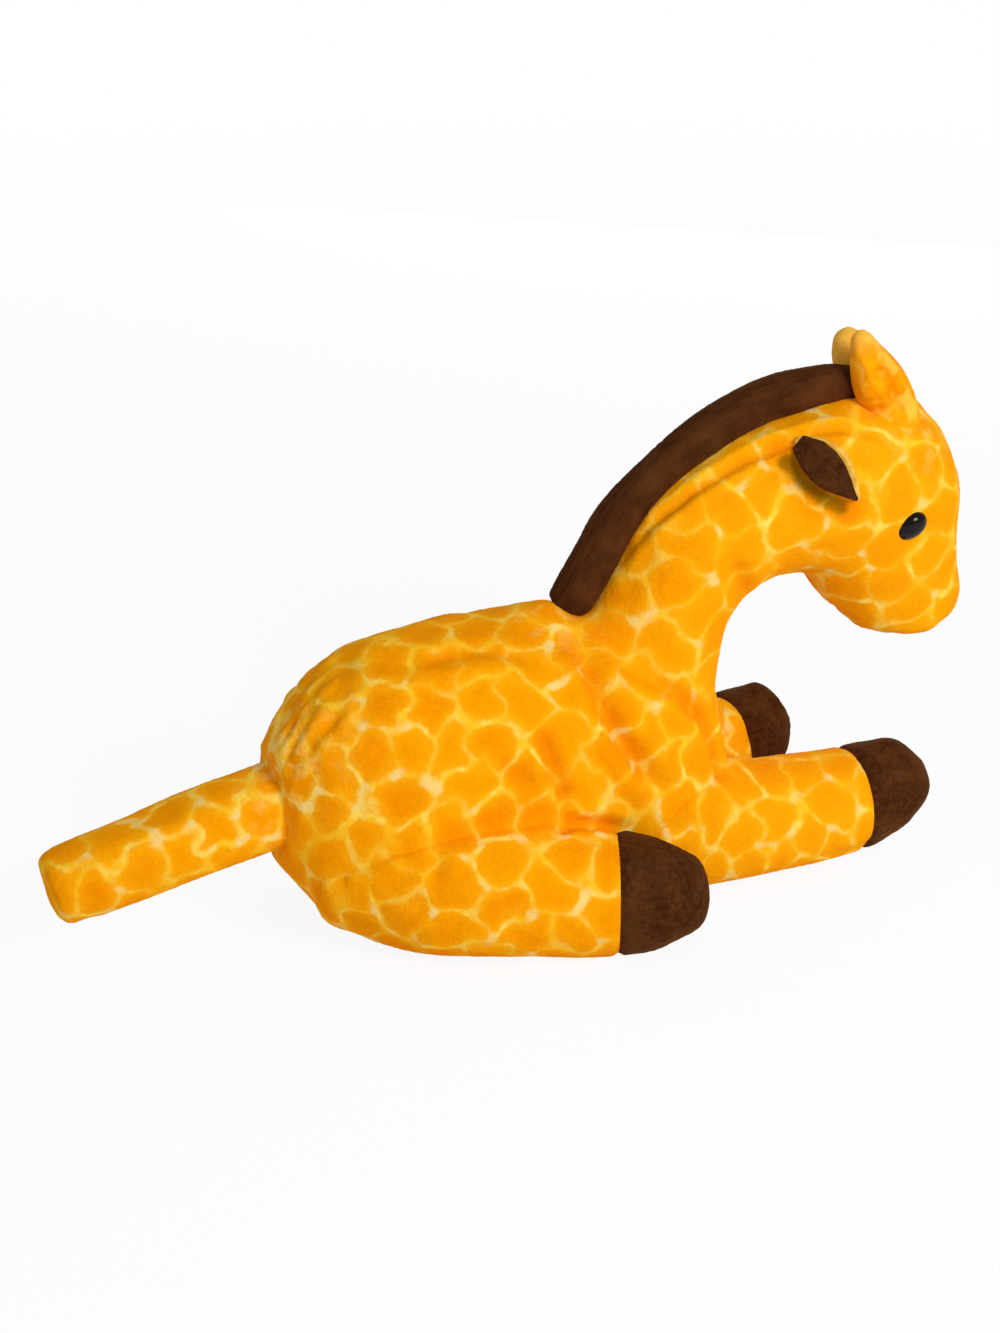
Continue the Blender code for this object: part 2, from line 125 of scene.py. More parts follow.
def setPlaces(piece, points):
    piece.data.vertices.foreach_set("co", points.ravel())
    piece.data.update()


def puff(piece, amount):
    # moves each point along its normal
    setPlaces(piece, places(piece) + normals(piece) * amount[:, None])


def smoothStep(low, high, x):
    t = np.clip((x - low) / (high - low), 0, 1)
    return t * t * (3 - 2 * t)


def distanceTo(points, route):
    # how far each point is from a route, and the share of the route at its nearest place
    nearest, share = np.full(len(points), np.inf), np.zeros(len(points))
    lengths = np.linalg.norm(np.diff(route, axis=0), axis=1)
    walked = 0.0
    for start, end, length in zip(route, route[1:], lengths):
        along = np.clip((points - start) @ (end - start) / length ** 2, 0, 1)
        gap = np.linalg.norm(points - start - along[:, None] * (end - start), axis=1)
        closer = gap < nearest
        nearest[closer] = gap[closer]
        share[closer] = ((walked + along * length) / lengths.sum())[closer]
        walked += length
    return nearest, share


creaseShape = {
    "fadeIn": 1.6,          # how soon a fold is at its full depth
    "swellAt": 2.1,         # widths from the fold to the swelling beside it
    "swellWidth": 1.1,
    "shade": 0.4,           # painted shade for each mm of depth, and the most of it
    "mostShade": 0.7,
}


def crease(piece, route, depth, width, lift):
    # a soft fold that fades out at both ends, with the cloth swelling beside it and painted shade in the
    # fold
    gap, share = distanceTo(places(piece), np.array(route) * mm)
    fade = np.clip(np.sin(np.pi * np.clip(share, 0.02, 0.98)) * creaseShape["fadeIn"], 0, 1)
    fold = np.exp(-(gap / (width * mm)) ** 2)
    swell = np.exp(-((gap - creaseShape["swellAt"] * width * mm)
                     / (creaseShape["swellWidth"] * width * mm)) ** 2)
    puff(piece, depth * mm * fade * (lift * swell - fold))
    darken(piece, fade * fold * min(creaseShape["mostShade"], creaseShape["shade"] * depth))


def darken(piece, share):
    # painted shade: folds and hollows are darkened in the colour, for the shade there and the light the
    # cloth's two sides throw on each other
    fields = piece.data.attributes
    kept = fields.get("paintedShade") or fields.new("paintedShade", "FLOAT", "POINT")
    values = np.empty(len(share), np.float32)
    kept.data.foreach_get("value", values)
    kept.data.foreach_set("value", np.maximum(values, share).astype(np.float32))


def dimple(piece, x, y, z, depth, radius, shade=0.6):
    points = places(piece)
    gap = np.linalg.norm(points / mm - (x, y, z), axis=1)
    puff(piece, -depth * mm * np.exp(-(gap / radius) ** 2))
    # painted shade in the dimple
    darken(piece, shade * np.exp(-(gap / radius) ** 2))


def pull(piece, rows):
    # sculpts with listed moves: each row is a place, a radius and a move in mm, the same on both sides
    points = places(piece)
    for x, y, z, radius, *move in rows:
        for sign in (1,) if y == 0 else (1, -1):
            gap = np.linalg.norm(points / mm - (x, sign * y, z), axis=1) / radius
            weight = np.clip(1 - gap ** 2, 0, 1) ** 2
            points += weight[:, None] * np.array(move) * (1, sign, 1) * mm
    setPlaces(piece, points)


def meet(piece, other, reach, amount, share=None):
    # lifts the cloth into a soft corner where it meets another form, or pinches it
    shape = BVHTree.FromObject(other, bpy.context.evaluated_depsgraph_get())
    points = places(piece)
    near = places(other)
    inside = ((points > near.min(0) - reach) & (points < near.max(0) + reach)).all(1)
    moved = np.zeros(len(points))
    for i in np.nonzero(inside)[0]:
        hit, normal, face, gap = shape.find_nearest(points[i], 2 * reach)
        if hit is not None:
            signed = gap if (Vector(points[i]) - hit).dot(normal) > 0 else -gap
            moved[i] = amount * max(0.0, 1 - abs(signed) / reach) ** 2
    puff(piece, moved if share is None else moved * share(points / mm))


def gapOnBothSides(points, x, y, z):
    # how far each point is, in mm, from a place or from its mirror image, whichever is nearer
    oneSide = np.stack([points[:, 0], np.abs(points[:, 1]), points[:, 2]], axis=1)
    return np.linalg.norm(oneSide - (x, y, z), axis=1)


def wander(points, size, seed, waveCount=9, tallest=3.2):
    # a smooth random field between about -1 and 1
    dice = np.random.RandomState(seed)
    total = np.zeros(len(points))
    for wave in range(waveCount):
        heading = dice.normal(size=3)
        heading /= np.linalg.norm(heading)
        pitch = 2 * np.pi / (size * dice.uniform(0.7, 1.5))
        total += np.sin(points @ heading * pitch + dice.uniform(0, 2 * np.pi))
    return total / tallest


def evenSections(rows, count, fineness=0.05):
    # sections spaced evenly along a smooth curve through the given ones
    rows = np.array(rows, float)
    padded = np.vstack([2 * rows[0] - rows[1], rows, 2 * rows[-1] - rows[-2]])
    dense = []
    for a, b, c, d in zip(padded, padded[1:], padded[2:], padded[3:]):
        for t in np.arange(0, 1, fineness):
            dense.append(0.5 * (2 * b + (c - a) * t + (2 * a - 5 * b + 4 * c - d) * t ** 2
                                + (3 * b - a - 3 * c + d) * t ** 3))
    dense = np.array(dense + [rows[-1]])
    walked = np.concatenate([[0], np.cumsum(np.linalg.norm(np.diff(dense[:, :2], axis=0), axis=1))])
    at = np.linspace(0, walked[-1], count)
    return np.array([np.interp(at, walked, column) for column in dense.T]).T


def faceOutwards(piece):
    pick(piece)
    bpy.ops.object.mode_set(mode="EDIT")
    bpy.ops.mesh.select_all(action="SELECT")
    bpy.ops.mesh.normals_make_consistent(inside=False)
    bpy.ops.object.mode_set(mode="OBJECT")


def stuffedForm(name, rows, place=None, ends=(4.0, 4.0), plump=2.2, sag=0.0, around=40):
    # a closed tube with domed ends; each row is along, up, half width, half height, in mm
    steps, domeSteps = 60, 8
    curve = evenSections(rows, steps)
    deselect()
    rings = steps + 2 * domeSteps - 1
    bpy.ops.mesh.primitive_uv_sphere_add(segments=around, ring_count=rings, radius=1)
    piece = bpy.context.active_object
    piece.name = piece.data.name = name
    ball = places(piece)
    ring = np.rint(np.arccos(np.clip(ball[:, 2], -1, 1)) / np.pi * rings)
    turn = np.arctan2(ball[:, 1], ball[:, 0])
    row = np.clip(ring - domeSteps, 0, steps - 1).astype(int)
    past = np.where(ring < domeSteps, domeSteps - ring,
                    np.maximum(ring - domeSteps - steps + 1, 0)) / domeSteps * np.pi / 2
    tangent = np.gradient(curve[:, :2], axis=0)
    tangent /= np.linalg.norm(tangent, axis=1)[:, None]
    along, up, wide, high = curve[row].T
    headX, headZ = tangent[row].T
    bulge = (np.abs(np.cos(turn)) ** plump + np.abs(np.sin(turn)) ** plump) ** (-1 / plump)
    rise = np.cos(turn) * bulge * np.cos(past)
    side = np.sin(turn) * bulge * np.cos(past) * (1 - sag * rise)
    reach = np.sin(past) * np.where(ring < domeSteps, -ends[0], ends[1])
    x = along + headX * reach - headZ * rise * high
    z = up + headZ * reach + headX * rise * high
    setPlaces(piece, np.stack([x, side * wide, z], axis=1) * mm)
    if place is not None:
        piece.data.transform(place)
    faceOutwards(piece)
    return piece


def duplicate(piece, name):
    pick(piece)
    bpy.ops.object.duplicate()
    copy = bpy.context.active_object
    copy.name = copy.data.name = name
    return copy


def weave(piece, voxel, smoothing):
    # an even mesh all over, as cloth that has no poles or thin faces
    applyModifier(piece, "REMESH", mode="VOXEL", voxel_size=voxel * mm, adaptivity=0)
    applyModifier(piece, "SMOOTH", factor=0.5, iterations=smoothing)
    pick(piece)
    bpy.ops.object.shade_smooth()


def restOnFloor(piece, softness=1.5, pressed=0.6):
    # the underside is pressed flat where it lies
    points = places(piece)
    low = points[:, 2] < softness * mm
    points[low, 2] = softness * mm * np.exp(points[low, 2] / (softness * mm) - 1)
    points[:, 2] = np.maximum(points[:, 2] - softness * mm * math.exp(-1 - pressed), 0.0)
    setPlaces(piece, points)


clothFilling = {
    "weave": (4.5, 3),      # the copy that is simulated: mm between its points, and its smoothing
    "frames": 20,
    "settings": {
        "quality": 6, "mass": 0.15, "tension_stiffness": 12.0, "compression_stiffness": 12.0,
        "shear_stiffness": 4.0, "bending_stiffness": 0.3, "use_pressure": True,
        "uniform_pressure_force": 4.0,
        "shrink_min": -0.09,    # so there is more cloth than the filling takes up
    },
    "broad": 15.0,          # mm over which a swelling counts as one of the whole form
    "mostMove": 2.2,        # mm
}


def settleCloth(piece):
    # a coarse copy is simulated as filled cloth, and its folds are passed on to the piece
    facts = clothFilling
    cloth = duplicate(piece, piece.name + "Cloth")
    weave(cloth, *facts["weave"])
    start, outward = places(cloth), normals(cloth)
    pick(cloth)
    made = cloth.modifiers.new("cloth", "CLOTH")
    for name, value in facts["settings"].items():
        setattr(made.settings, name, value)
    made.settings.effector_weights.gravity = 0
    made.point_cache.frame_start, made.point_cache.frame_end = 1, facts["frames"]
    for step in range(1, facts["frames"] + 1):
        bpy.context.scene.frame_set(step)
    bpy.ops.object.modifier_apply(modifier=made.name)
    bpy.context.scene.frame_set(1)
    moved = places(cloth) - start
    tree = KDTree(len(start))
    for i, point in enumerate(start):
        tree.insert(point, i)
    tree.balance()
    # the swelling all over is taken off again, so that the form keeps its size
    broad = np.array([moved[[index for place, index, gap in tree.find_range(
        point, facts["broad"] * mm)]].mean(0) for point in start])
    moved -= broad
    length = np.linalg.norm(moved, axis=1)
    print(piece.name, "cloth swelled", round(float(np.median((broad * outward).sum(1))) / mm, 2),
          "mm and folded up to", round(float(np.percentile(length, 98)) / mm, 2), "mm")
    moved *= (np.minimum(length, facts["mostMove"] * mm) / np.maximum(length, 1e-9))[:, None]
    points = places(piece)
    for i, point in enumerate(points.copy()):
        found = tree.find_n(point, 4)
        weights = np.array([1 / (gap + 0.5 * mm) ** 2 for place, index, gap in found])
        points[i] += weights @ moved[[index for place, index, gap in found]] / weights.sum()
    setPlaces(piece, points)
    bpy.data.objects.remove(cloth)


def cutAway(piece, point, normal, flatWithin=0.01 * mm):
    # keeps what lies behind a plane, and closes the cut with flat faces
    pick(piece)
    bpy.ops.object.mode_set(mode="EDIT")
    bpy.ops.mesh.select_all(action="SELECT")
    bpy.ops.mesh.bisect(plane_co=point, plane_no=normal, use_fill=True, clear_outer=True)
    bpy.ops.object.mode_set(mode="OBJECT")
    shape = bmesh.new()
    shape.from_mesh(piece.data)
    flat = {f for f in shape.faces if abs(f.normal.dot(normal)) > 0.999
            and all(abs((v.co - point).dot(normal)) < flatWithin for v in f.verts)}
    for face in flat:
        face.smooth = False
        for edge in face.edges:
            edge.smooth = all(other in flat for other in edge.link_faces)
    bmesh.ops.triangulate(shape, faces=list(flat))
    shape.to_mesh(piece.data)
    shape.free()


nap = {
    # height and size in mm of the pile's tufts
    "coat": (0.22, 1.1),
    "mane": (0.25, 1.0),
    "small": (0.2, 1.0),
    "levelWithin": 1.6,     # mm from a cut over which they fade out
}


def pileUp(piece, height, size, cut=None):
    # the nap of the pile, as small tufts in the surface itself, but level where a cut will run
    texture = bpy.data.textures.get(f"tufts{size}") or bpy.data.textures.new(f"tufts{size}", "CLOUDS")
    texture.noise_scale = size * mm
    texture.noise_depth = 1
    settings = {}
    if cut is not None:
        point, normal = (np.array(v) for v in cut)
        share = np.clip(np.abs((places(piece) - point) @ normal) / (nap["levelWithin"] * mm), 0, 1)
        group = piece.vertex_groups.new(name="pile")
        for i in np.nonzero(share < 1)[0]:
            group.add([int(i)], float(share[i]), "REPLACE")
        group.add([int(i) for i in np.nonzero(share == 1)[0]], 1.0, "REPLACE")
        settings["vertex_group"] = "pile"
    applyModifier(piece, "DISPLACE", texture=texture, texture_coords="LOCAL",
                  strength=height * mm, mid_level=0.5, **settings)
    if cut is not None:
        piece.vertex_groups.remove(piece.vertex_groups["pile"])


def addField(piece, name, values):
    kind, part = ("FLOAT", "value") if values.ndim == 1 else ("FLOAT_VECTOR", "vector")
    made = piece.data.attributes.new(name, kind, "POINT")
    made.data.foreach_set(part, values.astype(np.float32).ravel())


def rememberRest(piece):
    # materials read this, so that the pile stays put when the cloth bends
    addField(piece, "restPlace", places(piece) / mm)


coatPrint = {
    "spacing": 9.6,         # least room in mm between the middles of two patches
    "spread": (0.86, 1.14),
    "tries": 5000,          # places that each form offers for a patch
    "hiddenWithin": 12.0,   # mm
    "warp": 1.2,            # mm that the lines wander
    "warpSize": 9.0,
    "warpSeed": 5,
    "margin": 30.0,         # mm round a piece from which patches still reach it
    "lineHalf": (0.00, 0.62),
    "strength": (0.30, 1.0),
    "rounding": 0.8,
    "seed": 4,
    "neighbours": 7,
    "block": 20000,         # points that are worked out at once
    # each row: x, y, z and radius in mm, and how much paler the pile is there
    "worn": [(-57.0, 6.0, 52.0, 11.0, 0.9), (-60.0, 6.0, 40.0, 8.0, 0.6),
             (110.0, 9.0, 115.0, 10.0, 0.6), (12.0, 8.0, 78.0, 8.0, 0.5)],
}


def layPatches(pieces):
    # patch middles all over the toy, none of them where one form hides another
    dice = np.random.RandomState(coatPrint["seed"])
    graph = bpy.context.evaluated_depsgraph_get()
    shapes = {piece: BVHTree.FromObject(piece, graph) for piece in pieces}
    middles = np.empty((0, 3))
    for piece in pieces:
        points = places(piece)
        for i in dice.permutation(len(points))[:coatPrint["tries"]]:
            point = points[i] / mm
            apart = coatPrint["spacing"] * dice.uniform(*coatPrint["spread"])
            if len(middles) and np.min(((middles - point) ** 2).sum(1)) < apart ** 2:
                continue
            hidden = False
            for other, shape in shapes.items():
                hit, normal, face, gap = shape.find_nearest(points[i], coatPrint["hiddenWithin"] * mm)
                if other != piece and hit is not None and (Vector(points[i]) - hit).dot(normal) < 0:
                    hidden = True
            if not hidden:
                middles = np.vstack([middles, point])
    return middles, dice.uniform(0, 1, len(middles))


def lineChances(own, others):
    # two chances from 0 to 1 that stay the same for each pair of patches
    pair = np.minimum(own, others) * 7919 + np.maximum(own, others) * 104729
    return (pair % 997) / 997, (pair % 613) / 613


def printCoat(piece):
    # rounded patches with pale lines between: each point gets its distance to the nearest line
    points = places(piece) / mm
    bent = points + coatPrint["warp"] * np.stack(
        [wander(points, coatPrint["warpSize"], coatPrint["warpSeed"] + i) for i in range(3)], axis=1)
    low, high = points.min(0) - coatPrint["margin"], points.max(0) + coatPrint["margin"]
    near = ((patchMiddles > low) & (patchMiddles < high)).all(1)
    middles, tones = patchMiddles[near], patchTones[near]
    fields = {name: np.empty(len(points)) for name in (
        "coatLine", "coatStrength", "coatCorner", "coatTone")}
    rounding, count, block = (coatPrint[name] for name in ("rounding", "neighbours", "block"))
    for start in range(0, len(points), block):
        some, part = bent[start:start + block], slice(start, start + block)
        squares = ((some ** 2).sum(1)[:, None] + (middles ** 2).sum(1) - 2 * some @ middles.T)
        nearest = np.argpartition(squares, count, axis=1)[:, :count]
        order = np.argsort(np.take_along_axis(squares, nearest, 1), axis=1)
        nearest = np.take_along_axis(nearest, order, 1)
        own, others = nearest[:, :1], nearest[:, 1:]
        apart = np.linalg.norm(middles[others] - middles[own], axis=2)
        walls = (np.take_along_axis(squares, others, 1)
                 - np.take_along_axis(squares, own, 1)) / (2 * apart)
        # each line between two patches has a width and a strength of its own
        chance, other = lineChances(own, others)
        low, high = coatPrint["lineHalf"]
        weights = np.exp(-(walls - low - (high - low) * chance) / rounding)
        low, high = coatPrint["strength"]
        strengths = low + (high - low) * (0.5 * chance + 0.5 * other)
        fields["coatLine"][part] = -rounding * np.log(weights.sum(1))
        fields["coatStrength"][part] = (weights * strengths).sum(1) / weights.sum(1)
        fields["coatCorner"][part] = np.sort(walls, axis=1)[:, 1]
        fields["coatTone"][part] = tones[own[:, 0]]
    fields["coatPaled"] = np.zeros(len(points))
    for x, y, z, radius, amount in coatPrint["worn"]:
        gap = gapOnBothSides(points, x, y, z)
        fields["coatPaled"] = np.maximum(fields["coatPaled"], amount * np.exp(-(gap / radius) ** 2))
    for name, values in fields.items():
        addField(piece, name, values)


# Material helpers

class Wire:
    # a socket that takes part in sums
    def __init__(self, socket):
        self.socket = socket

    def mathNode(self, operation, *values):
        return add(self.socket.id_data, "ShaderNodeMath", {"operation": operation},
                   dict(enumerate(values)))["Value"]

    def __add__(self, other):
        return self.mathNode("ADD", self, other)

    __radd__ = __add__

    def __mul__(self, other):
        return self.mathNode("MULTIPLY", self, other)

    __rmul__ = __mul__

    def __sub__(self, other):
        return self.mathNode("SUBTRACT", self, other)

    def __rsub__(self, other):
        return self.mathNode("SUBTRACT", other, self)

    def between(self, low, high):
        # 0 up to low and 1 from high, with a soft step
        return add(self.socket.id_data, "ShaderNodeMapRange", {"interpolation_type": "SMOOTHSTEP"},
                   {"Value": self, "From Min": low, "From Max": high})["Result"]


class Outlets:
    def __init__(self, node):
        self.node = node

    def __getitem__(self, name):
        return Wire(next(s for s in self.node.outputs if s.name == name and s.enabled))


def add(tree, kind, settings=None, values=None):
    # one node: its settings first, then its sockets' values and links
    node = tree.nodes.new(kind)
    for name, value in (settings or {}).items():
        setattr(node, name, value)
    for name, value in (values or {}).items():
        sockets = node.inputs
        socket = sockets[name] if isinstance(name, int) else next(
            s for s in sockets if s.name == name and s.enabled)
        if isinstance(value, Wire):
            tree.links.new(value.socket, socket)
        else:
            socket.default_value = value
    return Outlets(node)


def colour(hexCode):
    # the colour as it is written for the web, made linear
    parts = [int(hexCode[i:i + 2], 16) / 255 for i in (1, 3, 5)]
    return (*(p / 12.92 if p <= 0.04045 else ((p + 0.055) / 1.055) ** 2.4 for p in parts), 1.0)


def mixColours(factor, first, second, blend="MIX"):
    tree = factor.socket.id_data
    return add(tree, "ShaderNodeMix", {"data_type": "RGBA", "blend_type": blend},
               {"Factor": factor, "A": first, "B": second})["Result"]


def newFinish(name, constants):
    made = bpy.data.materials.new(name)
    made.use_nodes = True
    shader = made.node_tree.nodes["Principled BSDF"]
    for socket, value in constants.items():
        shader.inputs[socket].default_value = value
    return made.node_tree, shader, made


def connect(tree, shader, wires):
    for name, wire in wires.items():
        tree.links.new(wire.socket, shader.inputs[name])


def noise(tree, place, size, detail=2.0, roughness=0.5):
    # size is the length of a blotch in mm
    return add(tree, "ShaderNodeTexNoise", {}, {
        "Vector": place, "Scale": 1.0 / size, "Detail": detail, "Roughness": roughness})["Fac"]


def fieldOf(tree, name):
    return add(tree, "ShaderNodeAttribute", {"attribute_name": name})


def connectPile(tree, shader, place, shade, locks, depth, strength):
    # the pile's colour, with fibres that lie in small locks
    tufts = noise(tree, place, 1.0, 3.0, 0.65)
    fibres = noise(tree, place, 0.35, 2.0, 0.6)
    bumps = add(tree, "ShaderNodeBump", {}, {
        "Strength": strength, "Distance": depth * mm, "Height": tufts * 0.6 + fibres * 0.4})
    connect(tree, shader, {"Base Color": shade, "Roughness": locks * 0.12 + 0.84,
                           "Normal": bumps["Normal"]})


coatColours = {
    "patchDeep": "#F48B00",
    "patchLight": "#FDA401",
    "patchEdge": "#FFB10E",
    "line": "#FFC92C",
    "linePale": "#FFE364",
    "worn": "#FFDC70",
    "blotch": "#F8D280",
    # painted shade, multiplied into folds and hollows, and the olive tint of the deepest
    "fold": "#F6DCB0",
    "deepFold": "#9EAE95",
    "locks": "#F2F2F2",
}
# sizes and edges in mm
coatLook = {
    "raggedSize": 2.4,      # of the fibres that fray the lines, and how far they stray
    "ragged": 1.9,
    "lineEdge": (-0.40, 0.75),
    "fadeSize": 6.5,        # of the stretches where a line is faint, and the least of it that stays
    "fadeLeast": 0.4,
    "haloEdge": (0.2, 3.4),
    "halo": 0.55,
    "front": (15.0, 60.0),  # the stretch along the toy over which painted light makes the print yellower towards the front
    "frontShare": 0.3,
    "blotchEdge": (0.7, 1.9),
    "blotch": 0.8,
    "worn": 0.7,
}
pileSheen = {"Sheen Weight": 0.03, "Sheen Roughness": 0.5, "Sheen Tint": colour("#FFB020"),
             "Specular IOR Level": 0.02}


def coatFinish():
    look, shades = coatLook, {name: colour(code) for name, code in coatColours.items()}
    tree, shader, made = newFinish("printed plush", pileSheen)
    place = fieldOf(tree, "restPlace")["Vector"]
    line, strength, corner, tone, paledField, fold = (fieldOf(tree, name)["Fac"] for name in (
        "coatLine", "coatStrength", "coatCorner", "coatTone", "coatPaled", "paintedShade"))
    ragged = noise(tree, place, look["raggedSize"], 3.0, 0.6) - 0.5
    onLine = 1.0 - (line + ragged * look["ragged"]).between(*look["lineEdge"])
    fading = noise(tree, place, look["fadeSize"], 2.0).between(0.30, 0.62)
    halo = 1.0 - (line + ragged * 3.0).between(*look["haloEdge"])
    mottle = noise(tree, place, 6.0, 3.0, 0.6)
    patch = mixColours(tone * 0.4 + mottle * 0.6, shades["patchDeep"], shades["patchLight"])
    patch = mixColours(halo * look["halo"], patch, shades["patchEdge"])
    # painted light: the print grows yellower towards the front, where more light falls
    front = add(tree, "ShaderNodeSeparateXYZ", {}, {"Vector": place})["X"].between(*look["front"])
    patch = mixColours(front * look["frontShare"], patch, shades["patchEdge"])
    pale = mixColours(noise(tree, place, 5.0, 2.0).between(0.42, 0.62), shades["line"],
                      shades["linePale"])
    least = look["fadeLeast"]
    printed = mixColours(onLine * strength * (fading * (1 - least) + least), patch, pale)
    blotch = 1.0 - (corner + ragged * 2.4).between(*look["blotchEdge"])
    blotch = blotch * noise(tree, place, 10.0, 1.0).between(0.50, 0.62)
    printed = mixColours(blotch * look["blotch"], printed, shades["blotch"])
    # the pile is mixed paler in the listed patches
    worn = paledField * noise(tree, place, 4.5, 3.0, 0.6).between(0.47, 0.60)
    printed = mixColours(worn * look["worn"], printed, shades["worn"])
    locks = noise(tree, place, 0.9, 3.0, 0.7)
    printed = mixColours(1.0 - locks.between(0.25, 0.75), printed, shades["locks"], "MULTIPLY")
    # painted shade in folds, dimples and the hollows by the ears, the deepest tinted olive
    printed = mixColours(fold.between(0.0, 0.7) * 0.8, printed, shades["fold"], "MULTIPLY")
    printed = mixColours(fold.between(0.7, 1.1), printed, shades["deepFold"], "MULTIPLY")
    connectPile(tree, shader, place, printed, locks, 0.5, 0.45)
    return made


paleTip = (128.0, 138.0)    # mm; the paler end, read from the height and a share of the far side
paleTipSlant = 0.6


def paleFinish(name, deep, light, spot, tipColour):
    # the horns and the backs of the ears, with hardly any print
    tree, shader, made = newFinish(name, pileSheen)
    place = fieldOf(tree, "restPlace")["Vector"]
    mottle = noise(tree, place, 5.5, 3.0, 0.6)
    spots = noise(tree, place, 7.5, 2.0).between(0.52, 0.66)
    parts = add(tree, "ShaderNodeSeparateXYZ", {}, {"Vector": place})
    tip = (parts["Z"] + parts["Y"] * paleTipSlant).between(*paleTip)
    shade = mixColours(mottle.between(0.35, 0.65), colour(deep), colour(light))
    shade = mixColours(spots * 0.6, shade, colour(spot))
    shade = mixColours(tip * 0.7, shade, colour(tipColour))
    fold = fieldOf(tree, "paintedShade")["Fac"]
    # painted shade where folds and dimples darken it
    shade = mixColours(fold * 0.8, shade, colour(coatColours["fold"]), "MULTIPLY")
    connectPile(tree, shader, place, shade, noise(tree, place, 0.9, 3.0, 0.7), 0.5, 0.45)
    return made


def brownFinish():
    # strokes runs along a piece, so that the pile looks brushed that way
    tree, shader, made = newFinish("brown plush", {
        "Sheen Weight": 0.28, "Sheen Roughness": 0.4, "Sheen Tint": colour("#A06A2C"),
        "Specular IOR Level": 0.03})
    place = fieldOf(tree, "restPlace")["Vector"]
    brushed = noise(tree, fieldOf(tree, "strokes")["Vector"], 1.6, 3.0, 0.6)
    cloudy = noise(tree, place, 9.0, 2.0, 0.5)
    locks = noise(tree, place, 0.8, 3.0, 0.7)
    brown = mixColours(brushed.between(0.32, 0.68), colour("#3A1C0B"), colour("#4E2A12"))
    brown = mixColours(cloudy.between(0.45, 0.7) * 0.35, brown, colour("#653B1A"))
    brown = mixColours(locks.between(0.5, 0.8) * 0.25, brown, colour("#6B4120"))
    connectPile(tree, shader, place, brown, locks, 0.6, 0.55)
    return made


def eyeFinish():
    tree, shader, made = newFinish("black safety eye", {"Specular IOR Level": 0.20})
    place = fieldOf(tree, "restPlace")["Vector"]
    wear = noise(tree, place, 1.8, 3.0)
    black = mixColours(wear, colour("#050403"), colour("#140C05"))
    connect(tree, shader, {"Base Color": black, "Roughness": wear * 0.08 + 0.10})
    return made


def insideFinish(name, dark, pale, grain):
    # wadding, pellets and washers, which lie inside
    tree, shader, made = newFinish(name, {})
    place = add(tree, "ShaderNodeTexCoord")["Object"]
    fibre = noise(tree, place, grain * mm, 4.0, 0.7)
    shade = mixColours(fibre.between(0.3, 0.7), colour(dark), colour(pale))
    bumps = add(tree, "ShaderNodeBump", {}, {"Strength": 0.5, "Distance": 0.4 * mm, "Height": fibre})
    connect(tree, shader, {"Base Color": shade, "Roughness": fibre * 0.2 + 0.7,
                           "Normal": bumps["Normal"]})
    return made


def floorFinish():
    made = bpy.data.materials.new("pale floor")
    made.use_nodes = True
    tree = made.node_tree
    tree.nodes.clear()
    ray = add(tree, "ShaderNodeLightPath")
    plain = add(tree, "ShaderNodeEmission", {}, {"Color": (1, 1, 1, 1), "Strength": 1.0})
    place = add(tree, "ShaderNodeTexCoord")["Object"]
    greys = [(shade, shade, shade, 1) for shade in studio["floorShades"]]
    pale = mixColours(noise(tree, place, 0.9), *greys)
    matt = add(tree, "ShaderNodeBsdfDiffuse", {}, {"Color": pale})
    seen = ray["Is Camera Ray"].mathNode("MAXIMUM", ray["Is Camera Ray"], ray["Is Glossy Ray"])
    seen = seen.mathNode("MAXIMUM", seen, ray["Is Transmission Ray"])
    away = add(tree, "ShaderNodeVectorMath", {"operation": "LENGTH"}, {0: place})["Value"]
    white = studio["floorWhite"] + (1.0 - studio["floorWhite"]) * away.between(*studio["whiteFrom"])
    both = add(tree, "ShaderNodeMixShader", {}, {
        0: seen * white, 1: matt["BSDF"], 2: plain["Emission"]})
    add(tree, "ShaderNodeOutputMaterial", {}, {"Surface": both["Shader"]})
    return made


def dress(piece, finish):
    piece.data.materials.clear()
    piece.data.materials.append(finish)


# The studio

